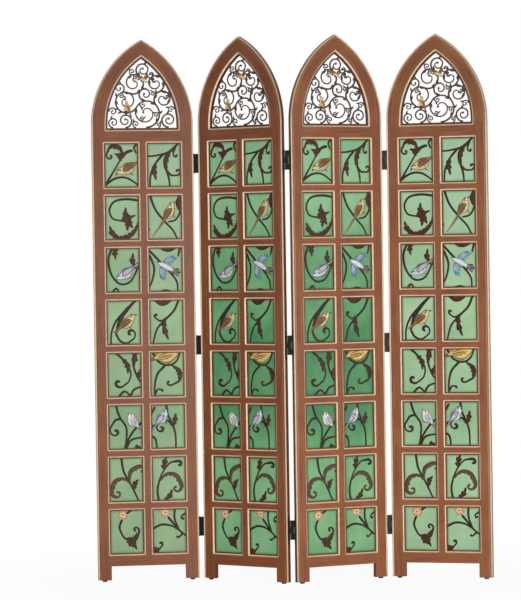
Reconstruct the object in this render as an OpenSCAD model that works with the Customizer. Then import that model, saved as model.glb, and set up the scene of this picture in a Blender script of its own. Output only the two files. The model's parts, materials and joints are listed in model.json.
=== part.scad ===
// Painted folding screen: four pointed-arch panels joined by double-pin hinges that fold like an accordion.
// Each panel is drawn in its own frame: x across, y through the thickness (front is -y), z up from the leg ends.

/* [Panel] */
// Width of one panel
panel_w = 340; // [330:1:370]
// Height of one panel from the ends of its legs to the tip of its arch
panel_h = 1800; // [1700:10:1900]
// Thickness of the wooden frame
panel_t = 18; // [18:0.5:22]

/* [Arch] */
// Height of the pointed arch above its springing line
arch_rise = 286; // [270:1:300]
// Width of the arch member, from the outer edge to the fretwork
arch_w = 52; // [48:1:56]
// Straight foot of the arch below the springing line
arch_foot_h = 10.4; // [8:0.2:16]
// Hairline left between the two halves of the arch at its tip
arch_seam = 0.1; // [0.1:0.05:0.3]

/* [Frame members] */
// Width of a stile
stile_w = 45; // [42:1:50]
// Height of the legs below the bottom rail
leg_h = 46.4; // [36:0.2:60]
// Height of the bottom rail
bottom_rail_h = 42.8; // [36:0.2:56]
// Height of the rail between the windows and the arch
arch_rail_h = 51.4; // [46:0.2:60]
// Height of one glazing bar of the lattice
bar_h = 33.8; // [30:0.2:38]
// Width of the upright bar in the middle of the lattice
muntin_w = 36.5; // [32:0.5:42]
// Length of the tenons on the rails
tenon_l = 22; // [16:1:28]
// Thickness of every tenon
tenon_t = 6; // [5:0.5:7]
// Shoulder left on each side of a tenon
tenon_shoulder = 9; // [7:0.5:11]
// Height of the tenon on top of each stile
stile_tenon_h = 24; // [16:1:30]

/* [Windows] */
// Rows of windows in one panel
window_rows = 8; // [7:1:9]
// Width of the step cut round each window for its bead
rebate_w = 9; // [8:0.5:10]
// Depth of that step below the face of the frame
rebate_d = 5.5; // [4.5:0.25:5.75]
// Width of the cream bead, which is also the radius of its corners
bead_w = 5; // [4:0.25:6]
// Height of the bead's inner edge above the step
bead_lip = 1.2; // [0.8:0.1:2]
// Width of the flat on top of the bead
bead_flat = 1.3; // [0.8:0.1:2]

/* [Outer edge] */
// Width of the cream bead along the outer edge
edge_bead_w = 5.5; // [4.5:0.25:6.5]
// Depth of the seat of the edge bead
edge_bead_d = 2; // [1.5:0.1:2]
// Width of the dark groove inside the edge bead
groove_w = 2; // [1.5:0.25:2.5]
// Depth of the dark groove
groove_d = 1.6; // [1.3:0.05:1.8]
// Width of the bevel inside the groove
bevel_w = 3; // [2:0.25:4]
// Depth of that bevel
bevel_d = 1; // [0.6:0.1:1.2]

/* [Painted board] */
// Thickness of the painted board
board_t = 3; // [2.5:0.5:4]
// Depth of the groove that holds the board
board_groove = 6; // [5:0.5:8]
// Room left at the bottom of a groove
groove_room = 0.5; // [0.3:0.1:0.8]

/* [Fretwork] */
// Thickness of the carved openwork in the arch
fret_t = 4; // [3:0.5:4.5]
// Depth of the groove that holds the fretwork
fret_groove = 6; // [5:0.5:7]
// Width of the rim of the fretwork that shows
fret_rim = 2.5; // [2:0.25:4]
// Width of a scroll at its root
scroll_w = 6.4; // [5.6:0.1:7]
// Width of a scroll at its tip
scroll_tip_w = 3.8; // [3.2:0.1:4.4]
// Radius of the bud at a scroll's tip
bud_r = 4; // [3.4:0.1:4.4]
// Length of the leaf on a scroll's back
spur_l = 17; // [14:0.5:20]
// Width of that leaf
spur_w = 7; // [6:0.5:8]
// Length of a carved bird
bird_l = 46; // [40:1:50]
// Radius below which a scroll is drawn slimmer
slim_r = 24; // [20:1:30]

/* [Hinges] */
// Height of the lowest hinge's middle above the leg ends
hinge_low_z = 172; // [150:1:200]
// Height of the highest hinge's middle above the leg ends
hinge_high_z = 1386; // [1300:1:1400]
// Height of a hinge's barrels
hinge_h = 64; // [54:1:70]
// Distance between the two pins of a hinge
pin_gap = 19.5; // [19.5:0.5:24]
// Distance from the edge of the wood out to a pin's axis
pin_out = 1.5; // [1.4:0.1:2]
// Radius of a hinge pin
pin_r = 1.75; // [1.5:0.05:1.9]
// Radius of a barrel
barrel_r = 3.4; // [3.2:0.1:3.45]
// Radial running clearance of a pin in a leaf
pin_clear = 0.05; // [0.03:0.01:0.09]
// Radial clearance of a pin in the link that grips it
grip_clear = 0.01; // [0.01:0.005:0.02]
// Clearance round a barrel that turns in a notch
barrel_clear = 0.35; // [0.3:0.05:0.5]
// Gap between one barrel and the next along the pin
knuckle_gap = 0.3; // [0.2:0.05:0.5]
// Thickness of the link's web
web_t = 1.8; // [1.4:0.1:1.8]
// Width of a leaf plate
leaf_w = 13; // [12:0.5:14]
// Height of a leaf plate
leaf_h = 94; // [90:1:104]
// Thickness of a leaf plate
leaf_t = 2; // [1.8:0.1:2.2]
// Height of the head at each end of a pin, and of the room above it
pin_head_h = 1; // [0.6:0.1:1.4]
// Radius of that head
pin_head_r = 2.7; // [2.4:0.1:3]
// Radius of a screw's shank
screw_r = 1.7; // [1.4:0.1:2]
// Radius of a screw's countersunk head
screw_head_r = 3.6; // [3.2:0.1:4]
// Length of a screw
screw_l = 18; // [14:1:22]
// Clearance of a screw's head in its countersink
screw_clear = 0.05; // [0.03:0.01:0.1]

/* [Feet] */
// Height of a foot pad
foot_h = 5; // [4:0.5:8]
// Radius of a foot pad
foot_r = 8; // [6:0.5:8.5]
// Bevel round the underside of a pad
foot_bevel = 1; // [0.5:0.25:1.5]
// Radius of the nail that holds a pad
nail_r = 1.5; // [1:0.25:2]
// Length of that nail
nail_l = 16; // [10:1:20]

/* [Fold] */
// Fold between the two middle panels, in degrees from flat
fold_middle = 62; // [40:0.5:75]
// Fold between each outer panel and its neighbour, in degrees from flat
fold_side = 43.3; // [20:0.1:50]

/* [Hidden] */
panel_parts = ["stile_left", "stile_right", "arch", "rails", "lattice_front", "lattice_back",
    "painted_board", "fretwork", "window_beads", "edge_beads", "feet", "hinge_leaves", "hinge_screws"];
line_parts = ["hinge_links", "hinge_pins"];
$fn = 64;
over = 1; // how far a cutting shape runs past a face

walnut = "#7d4e3a";
cream = "#e6cfa6";
board_green = "#6fae80";
fret_brown = "#4a3126";
hinge_black = "#262322";

// The frame's levels, from the leg ends up
spring_z = panel_h - arch_rise;
arch_base_z = spring_z - arch_foot_h;
lattice_low_z = leg_h + bottom_rail_h;
lattice_high_z = arch_base_z - arch_rail_h;
inner_x = panel_w / 2 - stile_w;
arch_r = (arch_rise * arch_rise + panel_w * panel_w / 4) / panel_w;
arch_centre = arch_r - panel_w / 2;
arch_face = arch_w - rebate_w;
arch_sill_z = arch_base_z - rebate_w;

// The windows
window_w = inner_x - muntin_w / 2;
window_h = (lattice_high_z - lattice_low_z - (window_rows - 1) * bar_h) / window_rows;
window_pitch = window_h + bar_h;
function window_x(column) = column * (inner_x + muntin_w / 2) / 2;
function window_z(row) = lattice_low_z + window_h / 2 + row * window_pitch;

// The hinges and the fold
hinge_levels = [hinge_low_z, (hinge_low_z + hinge_high_z) / 2, hinge_high_z];
knuckle_h = (hinge_h - 2 * knuckle_gap) / 3;
outer_knuckles = [[-hinge_h / 2, -hinge_h / 2 + knuckle_h], [hinge_h / 2 - knuckle_h, hinge_h / 2]];
middle_knuckle = [[-knuckle_h / 2, knuckle_h / 2]];
screw_z = (leaf_h + hinge_h) / 4 + pin_head_h / 2;
notch_r = barrel_r + barrel_clear;
pin_x = panel_w / 2 + pin_out;
turn_inner = fold_middle / 2;
turn_outer = fold_side - turn_inner;
turn_link = (turn_inner - turn_outer) / 2;

function heading(angle) = [cos(angle), sin(angle)];
pin_3_left = [pin_gap / 2, 0];
pin_3_right = pin_3_left + 2 * pin_x * heading(turn_inner);
pin_4_left = pin_3_right + pin_gap * heading(turn_link);
centre_3 = pin_3_left + pin_x * heading(turn_inner);
centre_4 = pin_4_left + pin_x * heading(-turn_outer);
function depth_reach(angle) = panel_w / 2 * abs(sin(angle)) + panel_t / 2 * cos(angle);
near_y = min(centre_3[1] - depth_reach(turn_inner), centre_4[1] - depth_reach(turn_outer));
far_y = max(centre_3[1] + depth_reach(turn_inner), centre_4[1] + depth_reach(turn_outer));
middle_y = (near_y + far_y) / 2;
panel_turn = [turn_outer, -turn_inner, turn_inner, -turn_outer];
panel_centre = [[-centre_4[0], centre_4[1]], [-centre_3[0], centre_3[1]], centre_3, centre_4];
link_34_centre = (pin_3_right + pin_4_left) / 2;
link_turn = [-turn_link, 0, turn_link];
link_centre = [[-link_34_centre[0], link_34_centre[1]], [0, 0], link_34_centre];

module at_panel(n) {
    translate([panel_centre[n - 1][0], panel_centre[n - 1][1] - middle_y, foot_h])
        rotate(panel_turn[n - 1]) children();
}

module at_link(line) {
    translate([link_centre[line][0], link_centre[line][1] - middle_y, foot_h])
        rotate(link_turn[line]) children();
}

module both_faces() {
    children();
    mirror([0, 1, 0]) children();
}

module both_sides() {
    children();
    mirror([1, 0, 0]) children();
}

// Stands a drawing of the front up, with its base at a depth behind the face and growing forwards
module on_front(depth) {
    translate([0, -panel_t / 2 + depth, 0]) rotate([90, 0, 0]) children();
}

// Profile of the outer edge: seat of the cream bead, dark groove and bevel, measured inwards from the edge
function edge_half(side) = [
    [0, side * (panel_t / 2 - edge_bead_d)],
    [edge_bead_w, side * (panel_t / 2 - edge_bead_d)],
    [edge_bead_w, side * (panel_t / 2 - groove_d)],
    [edge_bead_w + groove_w, side * (panel_t / 2 - groove_d)],
    [edge_bead_w + groove_w, side * (panel_t / 2 - bevel_d)],
    [edge_bead_w + groove_w + bevel_w, side * panel_t / 2]];
function reversed(list) = [for (i = [len(list) - 1:-1:0]) list[i]];

// Section of a stile, from its outer edge inwards
stile_section = concat(edge_half(-1), [[stile_w, -panel_t / 2], [stile_w, panel_t / 2]], reversed(edge_half(1)));

// Section of the arch member, with its steps for the bead and its groove for the fretwork
function arch_inner_half(side) = [
    [arch_face, side * panel_t / 2],
    [arch_face, side * (panel_t / 2 - rebate_d)],
    [arch_w, side * (panel_t / 2 - rebate_d)],
    [arch_w, side * fret_t / 2],
    [arch_w - fret_groove, side * fret_t / 2]];
arch_section = concat(edge_half(-1), arch_inner_half(-1), reversed(arch_inner_half(1)), reversed(edge_half(1)));

// Section of the cream edge bead: a low crown over its seat
crown_steps = 6;
edge_bead_section = concat([[0, 0], [edge_bead_w, 0]],
    [for (i = [0:crown_steps]) let (a = 20 + 140 * i / crown_steps)
        [edge_bead_w / 2 * (1 + cos(a) / cos(20)), edge_bead_d * (0.4 + 0.6 * (sin(a) - sin(20)) / (1 - sin(20)))]]);

// Section of the cream bead round an opening, from the wall of the step inwards
bead_section = [[0, 0], [bead_w, 0], [bead_w, bead_lip], [bead_flat, rebate_d], [0, rebate_d]];

// Carries a section, measured inwards from the outer edge, along one half of the panel's pointed outline
module along_arch(section, inset, foot) {
    translate([0, foot, 0]) rotate([-90, 0, 0]) linear_extrude(spring_z - foot)
        polygon([for (p = section) [panel_w / 2 - inset - p[0], -p[1]]]);
    difference() {
        translate([-arch_centre, spring_z, 0])
            rotate_extrude(angle = acos(arch_centre / (arch_r - inset)) + 2, $fn = 180)
                polygon([for (p = section) [arch_r - inset - p[0], p[1]]]);
        translate([-panel_w, spring_z, -panel_t])
            cube([panel_w, 2 * arch_rise, 2 * panel_t]);
    }
}

// Rounded rectangle, centred
module rounded(w, h, r) {
    square([w - 2 * r, h], center = true);
    square([w, h - 2 * r], center = true);
    for (x = [-1, 1], y = [-1, 1]) translate([x * (w / 2 - r), y * (h / 2 - r)]) circle(r);
}

// The step round every window, cut into both faces
module window_steps() {
    both_faces() on_front(rebate_d)
        for (column = [-1, 1], row = [0:window_rows - 1])
            translate([window_x(column), window_z(row)]) linear_extrude(rebate_d + over)
                rounded(window_w + 2 * rebate_w, window_h + 2 * rebate_w, bead_w);
}

// The step at the foot of the arch opening, cut into both faces
module arch_step() {
    step_x = panel_w / 2 - arch_face;
    both_faces() on_front(rebate_d) translate([0, arch_sill_z]) linear_extrude(rebate_d + over)
        translate([0, step_x]) rounded(2 * step_x, 2 * step_x, bead_w);
}

// Groove for the painted board
module board_groove_cut() {
    translate([-inner_x - board_groove, -board_t / 2, lattice_low_z - board_groove])
        cube([2 * (inner_x + board_groove), board_t, lattice_high_z - lattice_low_z + 2 * board_groove]);
}

// Tenons at both ends of a rail that stands between two levels
module rail_tenons(low, high) {
    translate([-inner_x - tenon_l, -tenon_t / 2, low + tenon_shoulder])
        cube([2 * (inner_x + tenon_l), tenon_t, high - low - 2 * tenon_shoulder]);
}

// Tenon on top of a stile, seen on the right-hand side
module stile_tenon() {
    translate([panel_w / 2 - stile_w + tenon_shoulder, -tenon_t / 2, arch_base_z - over])
        cube([stile_w - 2 * tenon_shoulder - edge_bead_w, tenon_t, stile_tenon_h + over]);
}

// Bed of one hinge leaf in the edge of a stile, with its barrels' groove and its screws' holes
module hinge_bed() {
    translate([-leaf_t, -leaf_w / 2, -leaf_h / 2]) cube([leaf_t + over, leaf_w, leaf_h]);
    translate([pin_out, 0, -hinge_h / 2 - pin_head_h - over])
        cylinder(r = notch_r, h = hinge_h + 2 * (pin_head_h + over));
    for (side = [-1, 1]) translate([-screw_l, 0, side * screw_z]) rotate([0, 90, 0])
        cylinder(r = screw_r, h = screw_l);
}

// Places something at every hinge on the right-hand edge of a panel
module at_hinges() {
    for (z = hinge_levels) translate([panel_w / 2, 0, z]) children();
}

module stile_body(has_hinges) {
    difference() {
        union() {
            linear_extrude(arch_base_z) polygon([for (p = stile_section) [panel_w / 2 - p[0], p[1]]]);
            stile_tenon();
        }
        window_steps();
        arch_step();
        board_groove_cut();
        rail_tenons(leg_h, lattice_low_z);
        rail_tenons(lattice_high_z, arch_base_z - rebate_w);
        if (has_hinges) at_hinges() hinge_bed();
        translate([panel_w / 2 - stile_w / 2, 0, -over]) cylinder(r = nail_r, h = nail_l + over);
    }
}

module stile_left(n) {
    color(walnut) at_panel(n) mirror([1, 0, 0]) stile_body(n > 1);
}

module stile_right(n) {
    color(walnut) at_panel(n) stile_body(n < 4);
}

// Two bent halves that meet at the tip
module arch(n) {
    color(walnut) at_panel(n) both_sides() difference() {
        rotate([90, 0, 0]) along_arch(arch_section, 0, arch_base_z);
        stile_tenon();
        translate([-over, -panel_t, spring_z]) cube([over + arch_seam / 2, 2 * panel_t, arch_rise + over]);
    }
}

// Bottom rail and arch rail
module rails(n) {
    color(walnut) at_panel(n) difference() {
        union() {
            translate([-inner_x, -panel_t / 2, leg_h]) cube([2 * inner_x, panel_t, bottom_rail_h]);
            rail_tenons(leg_h, lattice_low_z);
            translate([-inner_x, -panel_t / 2, lattice_high_z]) cube([2 * inner_x, panel_t, arch_rail_h]);
            rail_tenons(lattice_high_z, arch_base_z - rebate_w);
        }
        window_steps();
        arch_step();
        board_groove_cut();
        translate([-inner_x - over, -fret_t / 2, arch_base_z - fret_groove])
            cube([2 * (inner_x + over), fret_t, fret_groove + over]);
    }
}

// Front layer of the glazing bars: one upright and a bar between each two rows
module lattice_layer() {
    layer_t = (panel_t - board_t) / 2;
    difference() {
        translate([0, -panel_t / 2, 0]) union() {
            translate([-muntin_w / 2, 0, lattice_low_z]) cube([muntin_w, layer_t, lattice_high_z - lattice_low_z]);
            for (row = [0:window_rows - 2])
                translate([-inner_x, 0, window_z(row) + window_h / 2]) cube([2 * inner_x, layer_t, bar_h]);
        }
        window_steps();
    }
}

module lattice_front(n) {
    color(walnut) at_panel(n) lattice_layer();
}

module lattice_back(n) {
    color(walnut) at_panel(n) mirror([0, 1, 0]) lattice_layer();
}

// One tall board behind all the windows, held in the frame's groove
module painted_board(n) {
    held = board_groove - groove_room;
    color(board_green) at_panel(n)
        translate([-inner_x - held, -board_t / 2, lattice_low_z - held])
            cube([2 * (inner_x + held), board_t, lattice_high_z - lattice_low_z + 2 * held]);
}

// Straight run of the cream bead, with its outer side on the x axis
module bead_run(length) {
    translate([-length / 2, 0, 0]) rotate([90, 0, 90]) linear_extrude(length) polygon(bead_section);
}

// Quarter turn of the bead at the lower right-hand corner of an opening
module bead_corner() {
    rotate(-90) rotate_extrude(angle = 90) polygon([for (p = bead_section) [bead_w - p[0], p[1]]]);
}

// Closed frame of bead for one window, centred
module window_bead(w, h) {
    for (side = [0:3]) {
        along = side % 2 == 0 ? w : h;
        across = side % 2 == 0 ? h : w;
        rotate(90 * side) {
            translate([0, -across / 2, 0]) bead_run(along - 2 * bead_w);
            translate([along / 2 - bead_w, -across / 2 + bead_w, 0]) bead_corner();
        }
    }
}

// Closed frame of bead for the arch opening
module arch_bead() {
    half_w = panel_w / 2 - arch_face;
    translate([0, arch_sill_z, 0]) bead_run(2 * (half_w - bead_w));
    both_sides() {
        translate([half_w - bead_w, arch_sill_z + bead_w, 0]) bead_corner();
        along_arch(bead_section, arch_face, arch_sill_z + bead_w);
    }
}

module window_beads(n) {
    color(cream) at_panel(n) both_faces() on_front(rebate_d) {
        for (column = [-1, 1], row = [0:window_rows - 1])
            translate([window_x(column), window_z(row), 0])
                window_bead(window_w + 2 * rebate_w, window_h + 2 * rebate_w);
        arch_bead();
    }
}

// Cream bead up one edge, over the arch and down the other edge, on both faces
module edge_beads(n) {
    color(cream) at_panel(n) both_faces() on_front(edge_bead_d)
        both_sides() along_arch(edge_bead_section, 0, 0);
}

// Outline of the arch opening, at an inset from the outer edge and down to a level
module arch_outline(inset, low) {
    translate([-panel_w / 2 + inset, low]) square([panel_w - 2 * inset, spring_z - low]);
    intersection() {
        translate([-arch_centre, spring_z]) circle(arch_r - inset, $fn = 240);
        translate([arch_centre, spring_z]) circle(arch_r - inset, $fn = 240);
        translate([-panel_w / 2, spring_z]) square([panel_w, arch_rise]);
    }
}

// A scroll is [centre x, centre z, radius, start angle, turning sense, turns]: its radius shrinks slowly, then fast
scroll_shrink = 0.8;
scroll_power = 1.35;
scroll_turns = 1.6;
function scroll_radius(s, t) = s[2] * (1 - scroll_shrink * pow(t, scroll_power));
function scroll_part(s, angle) = ((angle - s[3]) * s[4] % 360 + 360) % 360 / (360 * s[5]);
// A scroll that leaves its parent's line where the two meet, and turns the other way
function branch(parent, x, z, turns = scroll_turns) = let (
        away = [x - parent[0], z - parent[1]],
        angle = atan2(away[1], away[0]))
    [x, z, norm(away) - scroll_radius(parent, scroll_part(parent, angle)), angle + 180, -parent[4], turns];
function scroll_point(s, t, aside) = let (angle = s[3] + s[4] * 360 * s[5] * t)
    [s[0], s[1]] + (scroll_radius(s, t) + aside) * heading(angle);

// How slim a scroll is drawn: a small one is down to six tenths as wide
function slimness(s) = 0.6 + 0.4 * min(1, s[2] / slim_r);

module scroll(s) {
    steps = round(26 * s[5]);
    half = [for (i = [0:steps]) slimness(s) * (scroll_w + (scroll_tip_w - scroll_w) * i / steps) / 2];
    polygon(concat([for (i = [0:steps]) scroll_point(s, i / steps, half[i])],
        [for (i = [steps:-1:0]) scroll_point(s, i / steps, -half[i])]));
    translate(scroll_point(s, 1, 0)) circle(slimness(s) * bud_r, $fn = 20);
}

// Pointed leaf that starts at a point and leans along an angle
leaf_shape = [for (i = [0:8]) [i / 8, sin(180 * pow(i / 8, 0.7))]];
module fret_leaf(angle, length, width) {
    rotate(angle) polygon(concat(
        [for (p = leaf_shape) [p[0] * length, p[1] * width / 2]],
        [for (i = [7:-1:1]) [leaf_shape[i][0] * length, -leaf_shape[i][1] * width / 2]]));
}

// Small leaf on the outer side of a scroll, or the inner side, part of the way along it
module spur(s, t, outer = 1) {
    lean = 38; // between the leaf and the line that it leaves
    translate(scroll_point(s, t, 0))
        fret_leaf(s[3] + s[4] * (360 * s[5] * t + 90 - outer * lean), slimness(s) * spur_l, slimness(s) * spur_w);
}

// Perched bird, one unit long and looking right
module perched_bird() {
    scale([0.33, 0.18]) circle(1, $fn = 24);
    translate([0.3, 0.15]) circle(0.125, $fn = 18);
    polygon([[0.4, 0.2], [0.54, 0.15], [0.4, 0.1]]);
    polygon([[-0.2, 0.1], [-0.65, -0.08], [-0.6, -0.2], [-0.15, -0.12]]);
}

// Flying bird, one unit from wing to wing
module flying_bird() {
    rotate(-30) scale([0.3, 0.11]) circle(1, $fn = 24);
    translate([0.26, -0.16]) circle(0.09, $fn = 18);
    polygon([[-0.12, 0], [-0.5, 0.2], [-0.42, 0.34], [-0.2, 0.3], [0.08, 0.06]]);
    polygon([[0, 0.04], [0.16, 0.36], [0.32, 0.42], [0.42, 0.3], [0.2, -0.04]]);
    polygon([[-0.2, 0.12], [-0.42, 0.08], [-0.44, -0.06], [-0.18, -0.02]]);
}

// Places and sizes inside the arch opening, as shares of its half width and its height
fret_half_w = panel_w / 2 - arch_w;
fret_h = sqrt(pow(arch_r - arch_w, 2) - arch_centre * arch_centre) + arch_foot_h;
function fx(share) = share * fret_half_w;
function fz(share) = arch_base_z + share * fret_h;
// Room from the middle of a scroll's line to the opening's edge, where the scroll grows from the rim
root_in = fret_rim + scroll_w / 4;
function reach_x(z) = sqrt(pow(arch_r - arch_w, 2) - pow(z - spring_z, 2)) - arch_centre - root_in;
function foot_scroll(x, z, sense, turns) = [fx(x), fz(z), fz(z) - arch_base_z - root_in, 270, sense, turns];
function side_scroll(side, x, z, sense, turns) =
    [side * fx(x), fz(z), reach_x(fz(z)) - fx(x), 90 - 90 * side, sense, turns];

// Scrolls of the arch, each growing from the rim or from another scroll
scroll_main = foot_scroll(0.12, 0.22, 1, 1.7);
scroll_left = branch(scroll_main, fx(-0.44), fz(0.39));
scroll_right = branch(scroll_main, fx(0.61), fz(0.415), 1.5);
scroll_heart = branch(scroll_main, fx(0.11), fz(0.488), 1.3);
scroll_upper = branch(scroll_left, fx(-0.22), fz(0.645), 1.5);
scroll_edge = branch(scroll_left, fx(-0.625), fz(0.575), 1.2);
scroll_high = branch(scroll_right, fx(0.4), fz(0.64), 1.5);
scroll_top = branch(scroll_upper, fx(0.05), fz(0.83), 1.4);
scroll_large = [scroll_main, scroll_left, scroll_right, scroll_upper, scroll_high];
scroll_small = [scroll_heart, scroll_edge, scroll_top,
    branch(scroll_right, fx(0.33), fz(0.49), 1.1), branch(scroll_top, fx(0.27), fz(0.77), 1.1),
    branch(scroll_upper, fx(-0.255), fz(0.807), 1.1),
    foot_scroll(-0.47, 0.115, 1, 1.5), foot_scroll(-0.81, 0.088, -1, 1.35), foot_scroll(0.76, 0.12, -1, 1.5),
    foot_scroll(-0.17, 0.065, -1, 1.2), foot_scroll(0.47, 0.052, 1, 1.1),
    side_scroll(-1, 0.82, 0.245, -1, 1.2), side_scroll(1, 0.83, 0.27, 1, 1.2)];

// Carved openwork: a rim held in the arch's groove, with scrolls, leaves and two birds
module fret_outline() {
    held = fret_groove - groove_room;
    difference() {
        arch_outline(arch_w - held, arch_base_z - held);
        arch_outline(arch_w + fret_rim, arch_base_z + fret_rim);
    }
    intersection() {
        arch_outline(arch_w - held, arch_base_z - held);
        union() {
            for (s = concat(scroll_large, scroll_small)) {
                scroll(s);
                spur(s, 0.3);
            }
            for (s = scroll_large) {
                spur(s, 0.14);
                for (t = [0.08, 0.22, 0.4]) spur(s, t, -1);
            }
            translate([fx(-0.4), fz(0.3)]) rotate(128) scale(bird_l) mirror([0, 1, 0]) perched_bird();
            translate([fx(0.06), fz(0.69)]) scale(bird_l) flying_bird();
        }
    }
}

module fretwork(n) {
    color(fret_brown) at_panel(n) translate([0, fret_t / 2, 0]) rotate([90, 0, 0])
        linear_extrude(fret_t) offset(delta = 0.02) fret_outline();
}

// Pads nailed under the two legs
module feet(n) {
    color(hinge_black) at_panel(n) both_sides() translate([panel_w / 2 - stile_w / 2, 0, -foot_h]) {
        cylinder(r1 = foot_r - foot_bevel, r2 = foot_r, h = foot_bevel);
        translate([0, 0, foot_bevel]) cylinder(r = foot_r, h = foot_h - foot_bevel);
        translate([0, 0, foot_bevel]) cylinder(r = nail_r, h = foot_h - foot_bevel + nail_l);
    }
}

// Leaf of a hinge on the right-hand edge, with its own barrels and notches for the link's
module hinge_leaf(own, others) {
    difference() {
        union() {
            translate([-leaf_t, -leaf_w / 2, -leaf_h / 2]) cube([leaf_t, leaf_w, leaf_h]);
            for (k = own) translate([pin_out, 0, k[0]]) cylinder(r = barrel_r, h = k[1] - k[0]);
        }
        for (k = others) translate([pin_out, 0, k[0] - knuckle_gap])
            cylinder(r = notch_r, h = k[1] - k[0] + 2 * knuckle_gap);
        translate([pin_out, 0, -hinge_h / 2 - over]) cylinder(r = pin_r + pin_clear, h = hinge_h + 2 * over);
        for (side = [-1, 1]) {
            translate([pin_out, 0, side * (hinge_h / 2 + over) - over]) cylinder(r = notch_r, h = 2 * over);
            translate([-leaf_t, 0, side * screw_z]) rotate([0, 90, 0])
                cylinder(r1 = screw_r + screw_clear, r2 = screw_head_r + screw_clear, h = leaf_t);
        }
    }
}

module hinge_leaves(n) {
    color(hinge_black) at_panel(n) {
        if (n < 4) at_hinges() hinge_leaf(outer_knuckles, middle_knuckle);
        if (n > 1) mirror([1, 0, 0]) at_hinges() hinge_leaf(middle_knuckle, outer_knuckles);
    }
}

module hinge_screws(n) {
    color(hinge_black) at_panel(n) {
        if (n < 4) at_hinges() leaf_screws();
        if (n > 1) mirror([1, 0, 0]) at_hinges() leaf_screws();
    }
}

// Countersunk screws of one leaf
module leaf_screws() {
    tip_l = 2 * screw_r;
    for (side = [-1, 1]) translate([0, 0, side * screw_z]) rotate([0, -90, 0]) {
        cylinder(r1 = screw_head_r, r2 = screw_r, h = leaf_t);
        translate([0, 0, leaf_t]) cylinder(r = screw_r, h = screw_l - tip_l - leaf_t);
        translate([0, 0, screw_l - tip_l]) cylinder(r1 = screw_r, r2 = 0.3, h = tip_l);
    }
}

// Link between two pins: a web with one barrel on the left-hand pin and two on the right-hand pin
module hinge_link() {
    difference() {
        union() {
            translate([-pin_gap / 2 + notch_r, -web_t / 2, -hinge_h / 2])
                cube([pin_gap - 2 * notch_r, web_t, hinge_h]);
            for (k = middle_knuckle) translate([-pin_gap / 2, 0, k[0]]) link_barrel(k[1] - k[0]);
            for (k = outer_knuckles) translate([pin_gap / 2, 0, k[0]]) mirror([1, 0, 0]) link_barrel(k[1] - k[0]);
        }
        for (side = [-1, 1]) translate([side * pin_gap / 2, 0, -hinge_h / 2 - over])
            cylinder(r = pin_r + grip_clear, h = hinge_h + 2 * over);
    }
}

// Barrel with the neck that joins it to the web on its right
module link_barrel(height) {
    cylinder(r = barrel_r, h = height);
    translate([0, -web_t / 2, 0]) cube([notch_r + over, web_t, height]);
}

module hinge_links(line) {
    color(hinge_black) at_link(line) for (z = hinge_levels) translate([0, 0, z]) hinge_link();
}

// Pins gripped by the links and turning in the leaves
module hinge_pins(line) {
    color(hinge_black) at_link(line) for (z = hinge_levels, side = [-1, 1])
        translate([side * pin_gap / 2, 0, z]) {
            cylinder(r = pin_r, h = hinge_h + 2 * knuckle_gap, center = true);
            for (end = [-1, 1]) translate([0, 0, end * (hinge_h / 2 + knuckle_gap + pin_head_h / 2)])
                cylinder(r = pin_head_r, h = pin_head_h, center = true);
        }
}

for (n = [1:4]) {
    stile_left(n);
    stile_right(n);
    arch(n);
    rails(n);
    lattice_front(n);
    lattice_back(n);
    painted_board(n);
    fretwork(n);
    window_beads(n);
    edge_beads(n);
    feet(n);
    hinge_leaves(n);
    hinge_screws(n);
}
for (line = [0:2]) {
    hinge_links(line);
    hinge_pins(line);
}
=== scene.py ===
# %% [markdown]
# # A painted folding screen
# Four pointed-arch panels stand in a zigzag on two-way hinges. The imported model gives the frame, the boards
# and the hinges at their true sizes. This lesson adds what a maker would add by hand: moulded cream beads,
# carved openwork, the painted picture, and the finish of every surface. Lengths are in metres, and "mm"
# turns millimetres into metres.

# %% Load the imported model
import json
import bpy
import numpy as np
from mathutils import Matrix

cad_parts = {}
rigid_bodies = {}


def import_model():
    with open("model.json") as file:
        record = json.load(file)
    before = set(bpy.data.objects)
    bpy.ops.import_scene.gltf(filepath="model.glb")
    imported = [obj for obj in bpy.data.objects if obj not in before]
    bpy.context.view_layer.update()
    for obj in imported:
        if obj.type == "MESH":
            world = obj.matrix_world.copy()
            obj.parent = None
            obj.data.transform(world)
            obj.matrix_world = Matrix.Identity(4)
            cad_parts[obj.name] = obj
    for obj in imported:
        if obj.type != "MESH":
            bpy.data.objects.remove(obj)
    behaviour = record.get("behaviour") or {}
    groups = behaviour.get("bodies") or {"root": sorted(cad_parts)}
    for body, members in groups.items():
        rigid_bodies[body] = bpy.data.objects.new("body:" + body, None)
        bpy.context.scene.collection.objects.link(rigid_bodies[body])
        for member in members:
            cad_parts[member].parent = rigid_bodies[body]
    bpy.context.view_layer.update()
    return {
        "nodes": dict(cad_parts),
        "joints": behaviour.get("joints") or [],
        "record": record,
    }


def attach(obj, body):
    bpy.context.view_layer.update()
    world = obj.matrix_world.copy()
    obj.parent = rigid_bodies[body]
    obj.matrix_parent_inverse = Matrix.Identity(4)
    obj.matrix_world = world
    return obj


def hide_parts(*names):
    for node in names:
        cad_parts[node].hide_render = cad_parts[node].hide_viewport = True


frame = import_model()
mm = 0.001

# %% [markdown]
# A few sizes of the panel are repeated here, because the new pieces are worked out from them. Every size is
# measured in the panel's own frame: x across it, y through it with the front at minus y, and z up from the
# leg ends.

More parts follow.
